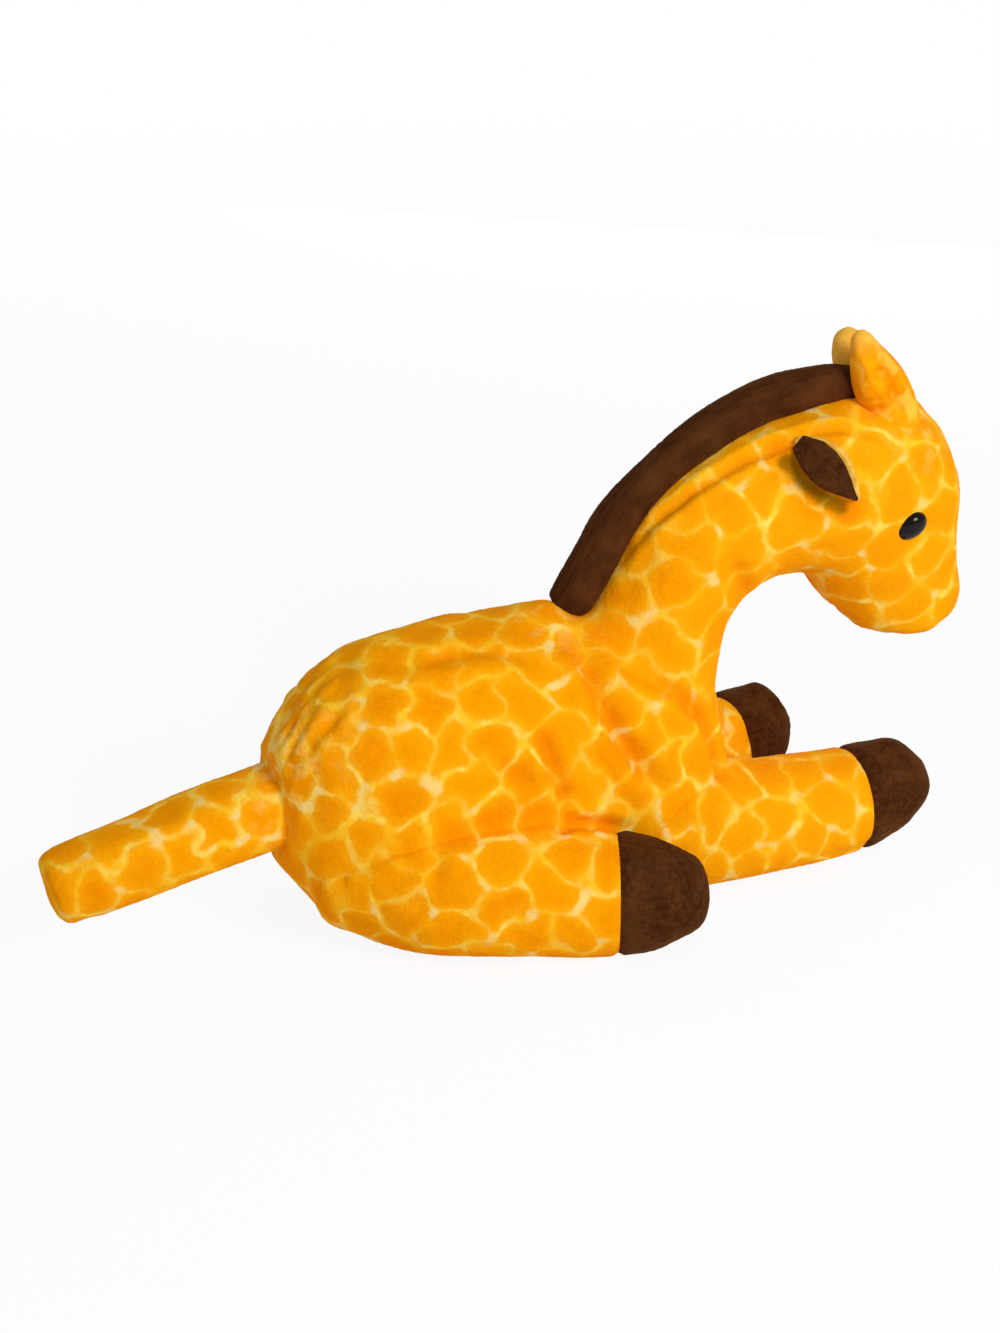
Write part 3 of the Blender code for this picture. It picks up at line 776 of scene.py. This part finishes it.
def buildStudio():
    azimuth, elevation = math.radians(studio["azimuth"]), math.radians(studio["elevation"])
    back = Vector((math.sin(azimuth) * math.cos(elevation), -math.cos(azimuth) * math.cos(elevation),
                   math.sin(elevation)))
    aim = Vector(studio["aim"])
    deselect()
    bpy.ops.object.camera_add(location=aim + back * studio["distance"],
                              rotation=(-back).to_track_quat("-Z", "Y").to_euler())
    camera = bpy.context.active_object
    camera.data.lens = studio["lens"]
    camera.data.sensor_width = studio["sensorWidth"]
    camera.data.shift_y = studio["shift"]
    bpy.context.scene.camera = camera

    right = back.cross(Vector((0, 0, 1))).normalized() * -1
    for name, (toRight, up, away, size, watts) in studio["lamps"].items():
        spot = aim + back * away + right * toRight + Vector((0, 0, up))
        bpy.ops.object.light_add(type="AREA", location=spot,
                                 rotation=(aim - spot).to_track_quat("-Z", "Y").to_euler())
        lamp = bpy.context.active_object
        lamp.name = name
        lamp.data.energy = watts
        lamp.data.size = size

    world = bpy.data.worlds.new("studio")
    bpy.context.scene.world = world
    world.use_nodes = True
    tree = world.node_tree
    tree.nodes.clear()
    ray = add(tree, "ShaderNodeLightPath")
    seen = ray["Is Camera Ray"].mathNode("MAXIMUM", ray["Is Camera Ray"], ray["Is Transmission Ray"])
    strength = studio["skyStrength"] + (1.0 - studio["skyStrength"]) * seen
    sky = add(tree, "ShaderNodeBackground", {}, {"Color": (1, 1, 1, 1), "Strength": strength})
    add(tree, "ShaderNodeOutputWorld", {}, {"Surface": sky["Background"]})

    bpy.ops.mesh.primitive_plane_add(size=studio["floorSize"], location=(0, 0, -studio["floorDrop"]))
    floor = bpy.context.active_object
    floor.name = "floor"
    bpy.ops.object.transform_apply(location=True)
    dress(floor, floorFinish())
    bpy.context.scene.view_settings.view_transform = "Standard"


buildStudio()
print("studio ready")

coatPlush, brownPlush, eyePlastic = coatFinish(), brownFinish(), eyeFinish()
hornPlush = paleFinish("horn plush", "#F08C00", "#FCA408", "#FFCB4A", "#F2BE50")
earPlush = paleFinish("ear plush", "#E0A030", "#F2C45C", "#F8D888", "#F2C45C")
print("finishes ready")

# The body: torso, neck and head are one sewn skin, parted at mid neck

body = {
    # each row: x, height, half width, half height, in mm
    "torso": [
        (-58.5, 37.0, 14.5, 19.0), (-51.0, 36.9, 21.6, 28.0), (-40.0, 37.2, 26.8, 34.2),
        (-28.9, 37.7, 29.9, 37.3), (-14.5, 37.9, 31.2, 38.4), (-0.8, 37.9, 31.5, 38.6),
        (14.0, 37.6, 30.2, 37.2), (28.5, 37.0, 28.0, 34.7), (41.0, 36.2, 23.8, 29.6),
        (50.6, 35.2, 19.1, 23.2), (57.0, 34.6, 12.5, 15.5),
    ],
    "neck": [
        (36.0, 40.0, 20.7, 23.4), (39.7, 59.3, 18.1, 20.2), (44.9, 76.7, 16.6, 18.8),
        (55.4, 90.8, 16.8, 19.6), (70.0, 98.1, 17.7, 20.9), (84.4, 99.7, 17.9, 21.5),
    ],
    "head": [
        (64.0, 98.0, 11.5, 12.5), (70.5, 98.8, 17.3, 18.5), (88.0, 99.9, 20.9, 23.3),
        (101.6, 97.0, 21.1, 24.2), (107.4, 83.0, 18.6, 21.4), (112.4, 71.0, 15.6, 18.2),
        (116.6, 63.2, 13.2, 15.0), (117.8, 59.5, 12.0, 12.8),
    ],
    "pulls": [
        (11.0, 0.0, 80.0, 16.0, 0.0, 0.0, 4.0),         # the rise to the mane
        (15.5, 0.0, 82.5, 8.5, -0.8, 0.0, 3.6),
        (91.0, 0.0, 73.0, 13.0, -0.8, 0.0, -1.8),       # the jaw
        (80.0, 0.0, 81.0, 10.0, -0.4, 0.0, -1.5),       # the throat
        (113.5, 0.0, 50.5, 15.0, 0.0, 0.0, 3.6),        # the flat end of the muzzle
        (121.0, 0.0, 111.0, 13.0, 0.9, 0.0, 0.5),       # the forehead
        (112.0, 0.0, 118.0, 8.0, 1.0, 0.0, 1.8),        # the crown, in front of the horns
        (-52.0, 22.0, 13.0, 16.0, 1.2, -1.0, 0.8),      # under the rump
        (128.0, 0.0, 56.0, 9.0, 0.8, 0.0, -0.8),        # the corner of the muzzle
        (128.0, 0.0, 88.0, 24.0, -1.3, 0.0, 0.0),       # the bridge of the nose
    ],
    "weave": (2.4, 10),     # mm between the points of its cloth, and how often that is smoothed
    "sag": 0.10,
    "headEnds": (4.0, 4.5),
    "splitPoint": (52.5, 0.0, 84.0),
    "splitTowards": (0.62, 0.0, 0.78),
    "snapWithin": 0.22,
    "nodStart": (33.0, 0.0, 50.0),      # the cloth gives between these two when the neck nods
    "nodEnd": (47.0, 0.0, 77.0),
    "turnStart": (60.0, 0.0, 92.0),     # and between these when the head turns
    "turnEnd": (90.0, 0.0, 101.0),
}


def buildBody():
    whole = stuffedForm("bodyPlush", body["torso"], sag=body["sag"])
    neck = stuffedForm("neckForm", body["neck"])
    head = stuffedForm("headForm", body["head"], ends=body["headEnds"])
    pick(whole, neck, head)
    bpy.ops.object.join()
    weave(whole, *body["weave"])
    pull(whole, body["pulls"])
    return whole


limbs = {
    # each row: along, rise from the joint, half width, half height, in mm
    "fore": {"rows": [(-11.4, -0.5, 13.4, 13.7), (3.0, -0.4, 13.8, 14.6), (18.4, -0.4, 13.9, 14.7),
                      (44.1, -0.5, 13.5, 13.9), (57.0, 2.8, 12.2, 12.0), (63.4, 7.0, 8.8, 9.0)],
             "length": 67.0, "hoof": 19.0, "rise": 16.0,
             "root": {"right": (45.3, -15.8), "left": (29.8, 15.8)},
             "splay": {"right": 2.0, "left": 11.0}, "bend": (4.0, 20.0)},
    "hind": {"rows": [(-24.2, -0.6, 9.4, 10.2), (-9.3, -0.6, 15.9, 16.4), (15.5, -1.1, 17.4, 17.6),
                      (41.6, -3.7, 14.9, 15.1), (57.0, -4.8, 12.9, 13.0), (64.2, -4.6, 9.6, 9.8)],
             "length": 69.0, "hoof": 24.0, "rise": 18.5,
             "root": {"right": (-26.0, -22.0), "left": (-26.0, 22.0)},
             "splay": {"right": 21.0, "left": 30.0}, "bend": (0.0, 22.0)},
}
limbPulls = {
    "foreRight": [(117.0, 15.0, 27.0, 11.0, 1.2, 0.0, 1.8), (112.0, 15.0, 6.0, 12.0, -0.8, 0.0, 0.8)],
    "foreLeft": [(97.0, 27.0, 18.0, 18.0, -1.6, 0.0, -0.8)],
    "hindRight": [(-44.0, 28.0, 8.0, 16.0, 1.2, -1.0, 0.6), (30.0, 53.0, 6.0, 12.0, -0.4, -1.2, 0.7)],
    "hindLeft": [(-42.0, 32.0, 8.0, 16.0, 1.2, -1.0, 0.6)],
}
limbEnds = (3.0, 3.5)
limbWeave = (2.0, 3)
seam = {"depth": 0.8, "width": 1.0}     # mm that the seam above a hoof is drawn in
tail = {
    "rows": [(-6.3, 1.7, 9.4, 9.4), (10.1, 1.6, 9.8, 10.0), (32.1, 1.2, 9.7, 9.8),
             (53.6, 0.4, 9.0, 9.1), (59.8, 0.1, 8.4, 8.5)],
    "ends": (3.0, 2.0),
    "plump": 2.4,
    "weave": (2.0, 2),
    "root": (-57.2, 0.0, 35.0),
    "droop": 11.0,
    "bend": (0.0, 9.0),
}
# reach and lift in mm of the cloth where two forms meet
joins = {"hind": (11.0, 2.75), "fore": (9.0, 2.2), "tail": (6.0, -1.6)}
rumpJoin = {"from": -40.0, "to": -14.0, "eased": 0.85}


def limbPlace(kind, side):
    facts = limbs[kind]
    sign = sideSigns[side]
    x, y = facts["root"][side]
    return (Matrix.Translation(Vector((x, y, facts["rise"])) * mm)
            @ Matrix.Rotation(math.radians(sign * facts["splay"][side]), 4, "Z"))


def tailPlace():
    return (Matrix.Translation(Vector(tail["root"]) * mm) @ Matrix.Rotation(math.pi, 4, "Z")
            @ Matrix.Rotation(math.radians(tail["droop"]), 4, "Y"))


def limbName(kind, side):
    return f"{kind}{side.capitalize()}"


def buildForms():
    forms = {"body": buildBody()}
    for kind in limbs:
        for side in sideSigns:
            name = limbName(kind, side)
            forms[name] = stuffedForm(name, limbs[kind]["rows"], limbPlace(kind, side), limbEnds)
            weave(forms[name], *limbWeave)
            pull(forms[name], limbPulls[name])
    forms["tail"] = stuffedForm("tailPlush", tail["rows"], tailPlace(), tail["ends"], tail["plump"])
    weave(forms["tail"], *tail["weave"])
    return forms


def rumpShare(points):
    # the rump runs on into the thigh, and a fold opens further forward
    return 1 - rumpJoin["eased"] * smoothStep(rumpJoin["from"], rumpJoin["to"], points[:, 0])


forms = buildForms()
print("stuffed forms ready")

for form in forms.values():
    settleCloth(form)
for kind in limbs:
    reach, lift = joins[kind]
    share = rumpShare if kind == "hind" else None
    for side in sideSigns:
        limb = forms[limbName(kind, side)]
        meet(forms["body"], limb, reach * mm, lift * mm, share)
        meet(limb, forms["body"], reach * mm, lift * mm, share)
reach, lift = joins["tail"]
meet(forms["body"], forms["tail"], reach * mm, lift * mm)
print("forms joined")

# Each fold is a route in mm, then its depth, its width and how far the cloth swells beside it
folds = {
    "gusset": [[(30.2, -3.4, 87.1), (37.3, -7.0, 98.0), (41.3, -8.5, 102.2), (49.1, -9.5, 107.5),
                (56.8, -10.0, 111.2), (66.1, -10.4, 114.8), (73.3, -10.6, 116.9), (79.8, -11.2, 118.2),
                (86.5, -12.7, 118.5), (93.2, -15.0, 117.3), (99.0, -17.2, 113.8)], 1.1, 1.4, 0.55],
    "shoulderLong": [[(15.6, -11.0, 71.9), (15.5, -16.3, 68.7), (17.2, -23.2, 60.5),
                      (20.7, -26.0, 52.1), (27.3, -27.5, 42.2), (33.1, -26.9, 32.4)], 2.4, 2.6, 0.5],
    "shoulderFront": [[(29.1, -17.6, 63.7), (34.3, -18.6, 59.9), (41.2, -19.0, 55.3),
                       (47.0, -18.9, 49.2), (50.2, -19.2, 42.5), (52.5, -18.5, 34.7),
                       (53.8, -24.5, 27.8)], 1.9, 2.1, 0.5],
    "flank": [[(-1.5, -25.0, 59.8), (1.1, -27.9, 52.8), (2.5, -29.6, 47.0), (5.0, -31.0, 39.8),
               (6.3, -31.6, 35.7)], 1.8, 2.2, 0.5],
    "flankSmall": [[(-12.7, -28.2, 52.8), (-8.2, -29.9, 48.7), (-3.4, -31.1, 44.0)], 1.0, 2.0, 0.5],
    "back": [[(-29.1, -10.5, 72.3), (-20.2, -10.9, 73.1), (-9.8, -11.2, 73.6), (-1.3, -14.3, 71.6),
              (4.6, -18.0, 68.4)], 1.1, 2.6, 0.4],
    "rumpHigh": [[(-43.1, -6.3, 68.4), (-48.4, -6.7, 64.9), (-53.2, -7.5, 60.2), (-57.4, -8.1, 54.5),
                  (-60.2, -7.7, 50.0)], 0.55, 1.1, 0.6],
    "rumpLow": [[(-43.0, -11.1, 66.7), (-47.8, -12.2, 63.0), (-52.0, -13.0, 58.2),
                 (-55.8, -12.5, 52.8)], 0.4, 1.4, 0.6],
    "rumpTop": [[(-48.5, -1.6, 65.4), (-53.5, -2.3, 60.4), (-57.5, -4.7, 55.7),
                 (-60.7, -5.4, 49.9)], 0.45, 0.9, 0.6],
    "thigh": [[(-35.5, -29.9, 32.8), (-28.4, -31.5, 34.3), (-20.6, -31.6, 36.6), (-11.7, -32.2, 37.9),
               (-2.5, -32.3, 38.3), (2.2, -31.9, 37.7)], 0.9, 2.8, 0.4],
    "thighFront": [[(2.1, -32.1, 36.8), (6.9, -32.3, 33.1), (13.9, -31.6, 30.8),
                    (23.6, -30.3, 26.5)], 1.2, 1.8, 0.5],
    "thighDown": [[(-28.1, -31.5, 33.5), (-30.0, -34.2, 30.5), (-31.4, -36.6, 26.6)], 0.9, 2.0, 0.4],
    "throat": [[(56.1, -17.2, 89.5), (60.7, -14.3, 80.9), (61.5, -8.0, 76.0)], 1.1, 2.0, 0.5],
}


leftFolds = {"share": 0.7, "forward": 3.0}      # milder than on the right, and set further forward
lumps = {"height": 0.35, "size": 24.0, "seed": 14}
detail = {
    # each row: x, y, z, depth and radius of a dimple in mm
    "dimples": {"hindRight": (2.9, -34.1, 32.9, 1.6, 2.2), "hindLeft": (4.0, 34.5, 32.5, 1.2, 2.2)},
    "earHollow": [(71.6, 13.2, 112.0), (75.2, 15.0, 107.6), (79.2, 18.2, 103.3), (84.0, 19.8, 100.4)],
    # the hollow's values at its start, and how much less they are at its end
    "hollowWidth": (5.6, 1.0),
    "hollowDepth": (1.8, 1.4),
    "hollowShade": (1.15, 0.1),
    "eyeSeat": (105.6, 20.7, 91.8),
    "eyeDimple": (1.0, 4.8, 0.3),       # depth, radius and painted shade
    # each row: x, y, z, radius and height of a rumpled patch in mm
    "rumples": [(-52.0, 7.0, 60.0, 13.0, 0.45), (-60.0, 9.0, 42.0, 9.0, 0.3)],
    "rumpleSize": 5.5,
    "rumpleStretch": (0.55, 1.3, 0.8),
    "rumpleSeed": 71,
}


def foldCloth(piece):
    for name, (route, depth, width, lift) in folds.items():
        crease(piece, route, depth, width, lift)
        mild = 1.0 if name == "gusset" else leftFolds["share"]
        forward = 0.0 if name in ("gusset", "throat") else leftFolds["forward"]
        crease(piece, [(x + forward, -y, z) for x, y, z in route], depth * mild, width, lift)


def hollowBesideEar(piece, sign):
    # the ear pulls the head in beside it, and painted shade darkens it there
    gap, share = distanceTo(places(piece), np.array(detail["earHollow"]) * (1, sign, 1) * mm)
    width, depth, shade = (most - less * share for most, less in (
        detail["hollowWidth"], detail["hollowDepth"], detail["hollowShade"]))
    near = np.exp(-(gap / (width * mm)) ** 2)
    puff(piece, -depth * mm * near)
    darken(piece, shade * near)


def rumple(piece):
    for x, y, z, radius, height in detail["rumples"]:
        points = places(piece)
        gap = gapOnBothSides(points / mm, x, y, z)
        ripple = wander(points * detail["rumpleStretch"], detail["rumpleSize"] * mm,
                        detail["rumpleSeed"])
        puff(piece, height * mm * ripple * np.exp(-(gap / radius) ** 2))


for number, form in enumerate(forms.values()):
    subdivide(form, 2)
    bumps = wander(places(form), lumps["size"] * mm, lumps["seed"] + 10 * number)
    puff(form, lumps["height"] * mm * bumps)
    foldCloth(form)
    restOnFloor(form)
for name, facts in detail["dimples"].items():
    dimple(forms[name], *facts)
for sign in sideSigns.values():
    hollowBesideEar(forms["body"], sign)
    x, y, z = detail["eyeSeat"]
    dimple(forms["body"], x, sign * y, z, *detail["eyeDimple"])
rumple(forms["body"])
patchMiddles, patchTones = layPatches(list(forms.values()))
print(len(patchMiddles), "patches laid")


def finishPlush(piece, finish, strokes=None):
    if finish is coatPlush:
        printCoat(piece)
    rememberRest(piece)
    if finish is brownPlush:
        addField(piece, "strokes", places(piece) / mm if strokes is None else strokes)
    dress(piece, finish)


# Body
whole = forms["body"]
splitPoint = Vector(body["splitPoint"]) * mm
splitTowards = Vector(body["splitTowards"]).normalized()
pileUp(whole, *nap["coat"], (splitPoint, splitTowards))
# points near the cut go onto it, so that it leaves no thin faces
points = places(whole)
off = (points - np.array(splitPoint)) @ np.array(splitTowards)
snapped = np.abs(off) < body["snapWithin"] * mm
points[snapped] -= off[snapped, None] * np.array(splitTowards)
setPlaces(whole, points)
finishPlush(whole, coatPlush)
headPlush = duplicate(whole, "headPlush")
whole.name = whole.data.name = "torsoPlush"
cutAway(whole, splitPoint, splitTowards)
cutAway(headPlush, splitPoint, -splitTowards)
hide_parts("torso_skin")
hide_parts("head_skin", "neck_skin", "head_stuffing")
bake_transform(whole, "torso", "neck", start=Vector(body["nodStart"]) * mm, end=Vector(body["nodEnd"]) * mm)
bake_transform(headPlush, "neck", "head", start=Vector(body["turnStart"]) * mm,
         end=Vector(body["turnEnd"]) * mm)
print("body ready")

# Legs and hooves
for kind, facts in limbs.items():
    for side in sideSigns:
        leg = forms[limbName(kind, side)]
        bodyName = f"{kind}_{side}"
        place = limbPlace(kind, side)
        along = (place.to_3x3() @ Vector((1, 0, 0))).normalized()
        seamPoint = place @ Vector(((facts["length"] - facts["hoof"]) * mm, 0, 0))
        gap = (places(leg) - np.array(seamPoint)) @ np.array(along)
        puff(leg, -seam["depth"] * mm * np.exp(-(gap / (seam["width"] * mm)) ** 2))
        pileUp(leg, *nap["coat"])
        hoof = duplicate(leg, f"hoof{kind.capitalize()}{side.capitalize()}")
        leg.name = leg.data.name = f"leg{kind.capitalize()}{side.capitalize()}"
        cutAway(leg, seamPoint, along)
        cutAway(hoof, seamPoint, -along)
        finishPlush(leg, coatPlush)
        finishPlush(hoof, brownPlush)
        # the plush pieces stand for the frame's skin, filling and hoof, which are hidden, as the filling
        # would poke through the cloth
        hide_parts(f"{bodyName}_leg_skin", f"{bodyName}_leg_stuffing")
        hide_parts(f"{bodyName}_hoof")
        start, end = (place @ Vector((step * mm, 0, 0)) for step in facts["bend"])
        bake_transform(leg, "torso", bodyName, start=start, end=end)
        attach(hoof, bodyName)
print("legs ready")

# Tail
tailPlush = forms["tail"]
pileUp(tailPlush, *nap["coat"])
finishPlush(tailPlush, coatPlush)
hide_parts("tail_skin", "tail_stuffing")
start, end = (tailPlace() @ Vector((step * mm, 0, 0)) for step in tail["bend"])
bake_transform(tailPlush, "torso", "tail", start=start, end=end)
print("tail ready")

# The mane, a padded strip along the crest that gives with the neck and the head

mane = {
    # each row: x, height, half width, half height, in mm
    "rows": [(18.6, 76.9, 5.2, 5.9), (25.9, 88.9, 5.2, 5.7), (31.6, 97.8, 5.3, 5.6),
             (44.1, 109.6, 5.2, 5.4), (56.6, 117.6, 5.2, 5.3), (68.9, 123.0, 5.1, 5.4),
             (81.4, 125.3, 5.0, 5.5), (92.0, 126.0, 4.8, 5.2), (98.0, 124.6, 3.8, 4.4)],
    "ends": (2.6, 2.0),
    "plump": 2.6,
    "around": 32,
    "weave": (1.6, 3),
    "lumps": (0.3, 26.0, 5),        # height and size in mm, and the seed
    "strokes": (0.22, 1.4),         # along and across, so that the pile looks brushed along it
}


def buildMane():
    strip = stuffedForm("maneLower", mane["rows"], None, mane["ends"], mane["plump"],
                        around=mane["around"])
    weave(strip, *mane["weave"])
    subdivide(strip, 1)
    height, size, seed = mane["lumps"]
    puff(strip, height * mm * wander(places(strip), size * mm, seed))
    pileUp(strip, *nap["mane"], (splitPoint, splitTowards))
    spine = np.array([(x, 0, z) for x, z, *halves in mane["rows"]])
    gap, share = distanceTo(places(strip) / mm, spine)
    length = np.linalg.norm(np.diff(spine, axis=0), axis=1).sum()
    along, across = mane["strokes"]
    strokes = np.stack([share * length * along, places(strip)[:, 1] / mm * across, gap * across],
                       axis=1)
    finishPlush(strip, brownPlush, strokes)
    upper = duplicate(strip, "maneUpper")
    cutAway(strip, splitPoint, splitTowards)
    cutAway(upper, splitPoint, -splitTowards)
    for piece, bodies, start, end in (
            (strip, ("torso", "neck"), body["nodStart"], body["nodEnd"]),
            (upper, ("neck", "head"), body["turnStart"], body["turnEnd"])):
        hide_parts("mane")
        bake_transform(piece, *bodies, start=Vector(start) * mm, end=Vector(end) * mm)


buildMane()
print("mane ready")

# Horns, small stuffed cones with a seam down the outer side

horns = {
    "right": {"rows": [(106.4, 113.0, 6.0, 6.6), (103.9, 120.5, 6.2, 6.9), (100.0, 127.6, 6.3, 6.9),
                       (97.0, 133.4, 4.8, 5.3), (94.9, 138.0, 3.0, 3.4)], "across": -7.0},
    "left": {"rows": [(105.4, 114.0, 6.0, 6.0), (104.0, 121.0, 5.9, 5.9), (101.2, 128.0, 5.8, 5.8),
                      (99.2, 132.6, 5.0, 5.0), (98.6, 134.0, 4.2, 4.2)], "across": 6.8},
}
hornForm = {"ends": (2.0, 4.0), "around": 28, "weave": (1.3, 3)}
# the right one's seam pulls a dimple in, and the cloth folds over below it
hornSeam = [(103.5, -13.3, 121.0), (99.5, -13.6, 128.0), (95.5, -12.8, 134.5), (93.5, -9.0, 139.5)]
hornFold = (0.9, 1.2, 0.6)
hornDimple = (97.0, -13.0, 131.5, 1.3, 1.8)


def buildHorn(side):
    facts = horns[side]
    place = Matrix.Translation((0, facts["across"] * mm, 0))
    horn = stuffedForm(f"hornPlush{side.capitalize()}", facts["rows"], place, hornForm["ends"],
                       around=hornForm["around"])
    weave(horn, *hornForm["weave"])
    subdivide(horn, 1)
    if side == "right":
        crease(horn, hornSeam, *hornFold)
        dimple(horn, *hornDimple)
    pileUp(horn, *nap["small"])
    finishPlush(horn, hornPlush)
    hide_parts(f"horn_{side}")
    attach(horn, f"horn_{side}")


for side in sideSigns:
    buildHorn(side)
print("horns ready")

# Ears, a cupped leaf of coat plush with a brown lining

ear = {
    "root": (75.6, 13.0, 117.2),
    "hang": 46.0,           # degrees below level
    "flare": 29.0,          # degrees off the head
    "cup": {"depth": 2.6, "middle": -0.8, "half": 5.5, "power": 1.6, "along": (0.08, 0.9)},
    "droop": {"ends": 1.4, "root": 1.2, "rootShare": 0.20, "power": 1.5},
    # each row: along, lower edge, upper edge, in mm
    "back": {"rows": [(-0.8, -1.0, 0.4), (0.9, -2.6, 1.6), (4.0, -4.0, 4.0), (8.2, -4.6, 4.8),
                      (12.1, -4.3, 4.2), (15.9, -3.4, 2.6), (18.8, -2.6, 0.6), (20.8, -1.9, -1.0)],
             "thick": 2.0, "lift": 0.0},
    "lining": {"rows": [(-0.2, -3.2, 1.2), (1.4, -4.1, 2.0), (4.3, -5.4, 3.2), (8.4, -6.0, 3.2),
                        (12.1, -5.6, 2.4), (15.9, -4.3, 0.8), (18.2, -3.2, -0.7), (20.4, -2.2, -1.7)],
               "thick": 1.7, "lift": 1.4},
}


def earPlace(side):
    sign = sideSigns[side]
    hang, flare = math.radians(ear["hang"]), math.radians(ear["flare"])
    along = Vector((math.cos(hang) * math.cos(flare), sign * math.sin(flare),
                    -math.sin(hang) * math.cos(flare)))
    across = Vector((-along.z, 0, along.x)).normalized()
    turn = Matrix((along, across, sign * along.cross(-across))).transposed().to_4x4()
    x, y, z = ear["root"]
    return Matrix.Translation(Vector((x, sign * y, z)) * mm) @ turn


def leaf(name, side, facts):
    cup, droop = ear["cup"], ear["droop"]
    deselect()
    bpy.ops.mesh.primitive_grid_add(x_subdivisions=26, y_subdivisions=16, size=2)
    piece = bpy.context.active_object
    piece.name = piece.data.name = name
    flat = places(piece)
    rows = np.array(facts["rows"])
    along, across = (flat[:, 0] + 1) / 2, flat[:, 1]
    x = rows[0, 0] + (rows[-1, 0] - rows[0, 0]) * along
    low, high = np.interp(x, rows[:, 0], rows[:, 1]), np.interp(x, rows[:, 0], rows[:, 2])
    y = (low + high) / 2 + (high - low) / 2 * across
    rise = cup["depth"] * np.sin(np.pi * np.clip(along, *cup["along"])) * np.abs(
        (y - cup["middle"]) / cup["half"]) ** cup["power"]
    fall = droop["ends"] * (2 * along - 1) ** 2 + droop["root"] * np.clip(
        1 - along / droop["rootShare"], 0, 1) ** droop["power"]
    setPlaces(piece, np.stack([x, y, rise + facts["lift"] - fall], axis=1) * mm)
    applyModifier(piece, "SOLIDIFY", thickness=facts["thick"] * mm, offset=0.0)
    subdivide(piece, 1)
    piece.data.transform(earPlace(side))
    faceOutwards(piece)
    bpy.ops.object.shade_smooth()
    pileUp(piece, *nap["small"])
    return piece


def buildEar(side):
    back = leaf(f"earBack{side.capitalize()}", side, ear["back"])
    finishPlush(back, earPlush)
    lining = leaf(f"earLining{side.capitalize()}", side, ear["lining"])
    finishPlush(lining, brownPlush)
    for piece, node in ((back, "ear_back_"), (lining, "ear_lining_")):
        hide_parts(node + side)
        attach(piece, f"ear_{side}")


for side in sideSigns:
    buildEar(side)
print("ears ready")

# Eyes, glossy domes seated in the plush

eye = {
    "halfLong": 4.4,
    "halfShort": 3.6,
    "bulge": 2.6,
    "back": 1.2,            # mm of the dome that lie under its widest place
    "sunk": 0.2,
    "tilt": 38.0,           # degrees that its long way rises towards the nose
    "shift": (1.2, 0.0, -0.6),
    "from": 30.0,           # mm outside the head from which its seat is looked for
}


def buildEye(side):
    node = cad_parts[f"eye_{side}"]
    points = np.unique(places(node).round(7), axis=0)
    middle = points.mean(0)
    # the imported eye's own axis is the one whose spread differs from the two others
    spread, axes = np.linalg.eigh(np.cov((points - middle).T))
    odd = 0 if spread[1] - spread[0] > spread[2] - spread[1] else 2
    axis = Vector(axes[:, odd])
    if axis.y * sideSigns[side] < 0:
        axis = -axis
    shape = BVHTree.FromObject(headPlush, bpy.context.evaluated_depsgraph_get())
    start = Vector(middle) + axis * eye["from"] * mm + Vector(eye["shift"]) * mm
    seat, *rest = shape.ray_cast(start, -axis)
    deselect()
    bpy.ops.mesh.primitive_uv_sphere_add(segments=48, ring_count=32, radius=eye["halfLong"] * mm)
    dome = bpy.context.active_object
    dome.name = dome.data.name = f"eyeDome{side.capitalize()}"
    bpy.ops.object.shade_smooth()
    points = places(dome)
    points[:, 1] *= eye["halfShort"] / eye["halfLong"]
    points[:, 2] *= np.where(points[:, 2] > 0, eye["bulge"], eye["back"]) / eye["halfLong"]
    setPlaces(dome, points)
    tilt = math.radians(eye["tilt"])
    towards = Vector((math.cos(tilt), 0, math.sin(tilt)))
    longWay = (towards - axis * towards.dot(axis)).normalized()
    turn = Matrix((longWay, axis.cross(longWay), axis)).transposed().to_4x4()
    dome.data.transform(Matrix.Translation(seat - axis * eye["sunk"] * mm) @ turn)
    rememberRest(dome)
    dress(dome, eyePlastic)
    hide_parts(f"eye_{side}")
    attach(dome, "head")


for side in sideSigns:
    buildEye(side)
print("eyes ready")

# What lies inside keeps its frame solids
insideFinishes = {
    "stuffing": insideFinish("polyester wadding", "#DAD8D0", "#F4F2EC", 1.5),
    "pellets": insideFinish("plastic pellets", "#C9C9C4", "#F0F0EA", 2.5),
    "washer": insideFinish("moulded nylon", "#D4D4CE", "#DEDED8", 4.0),
}
for name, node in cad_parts.items():
    for word, finish in insideFinishes.items():
        if word in name:
            dress(node, finish)
print("insides ready")
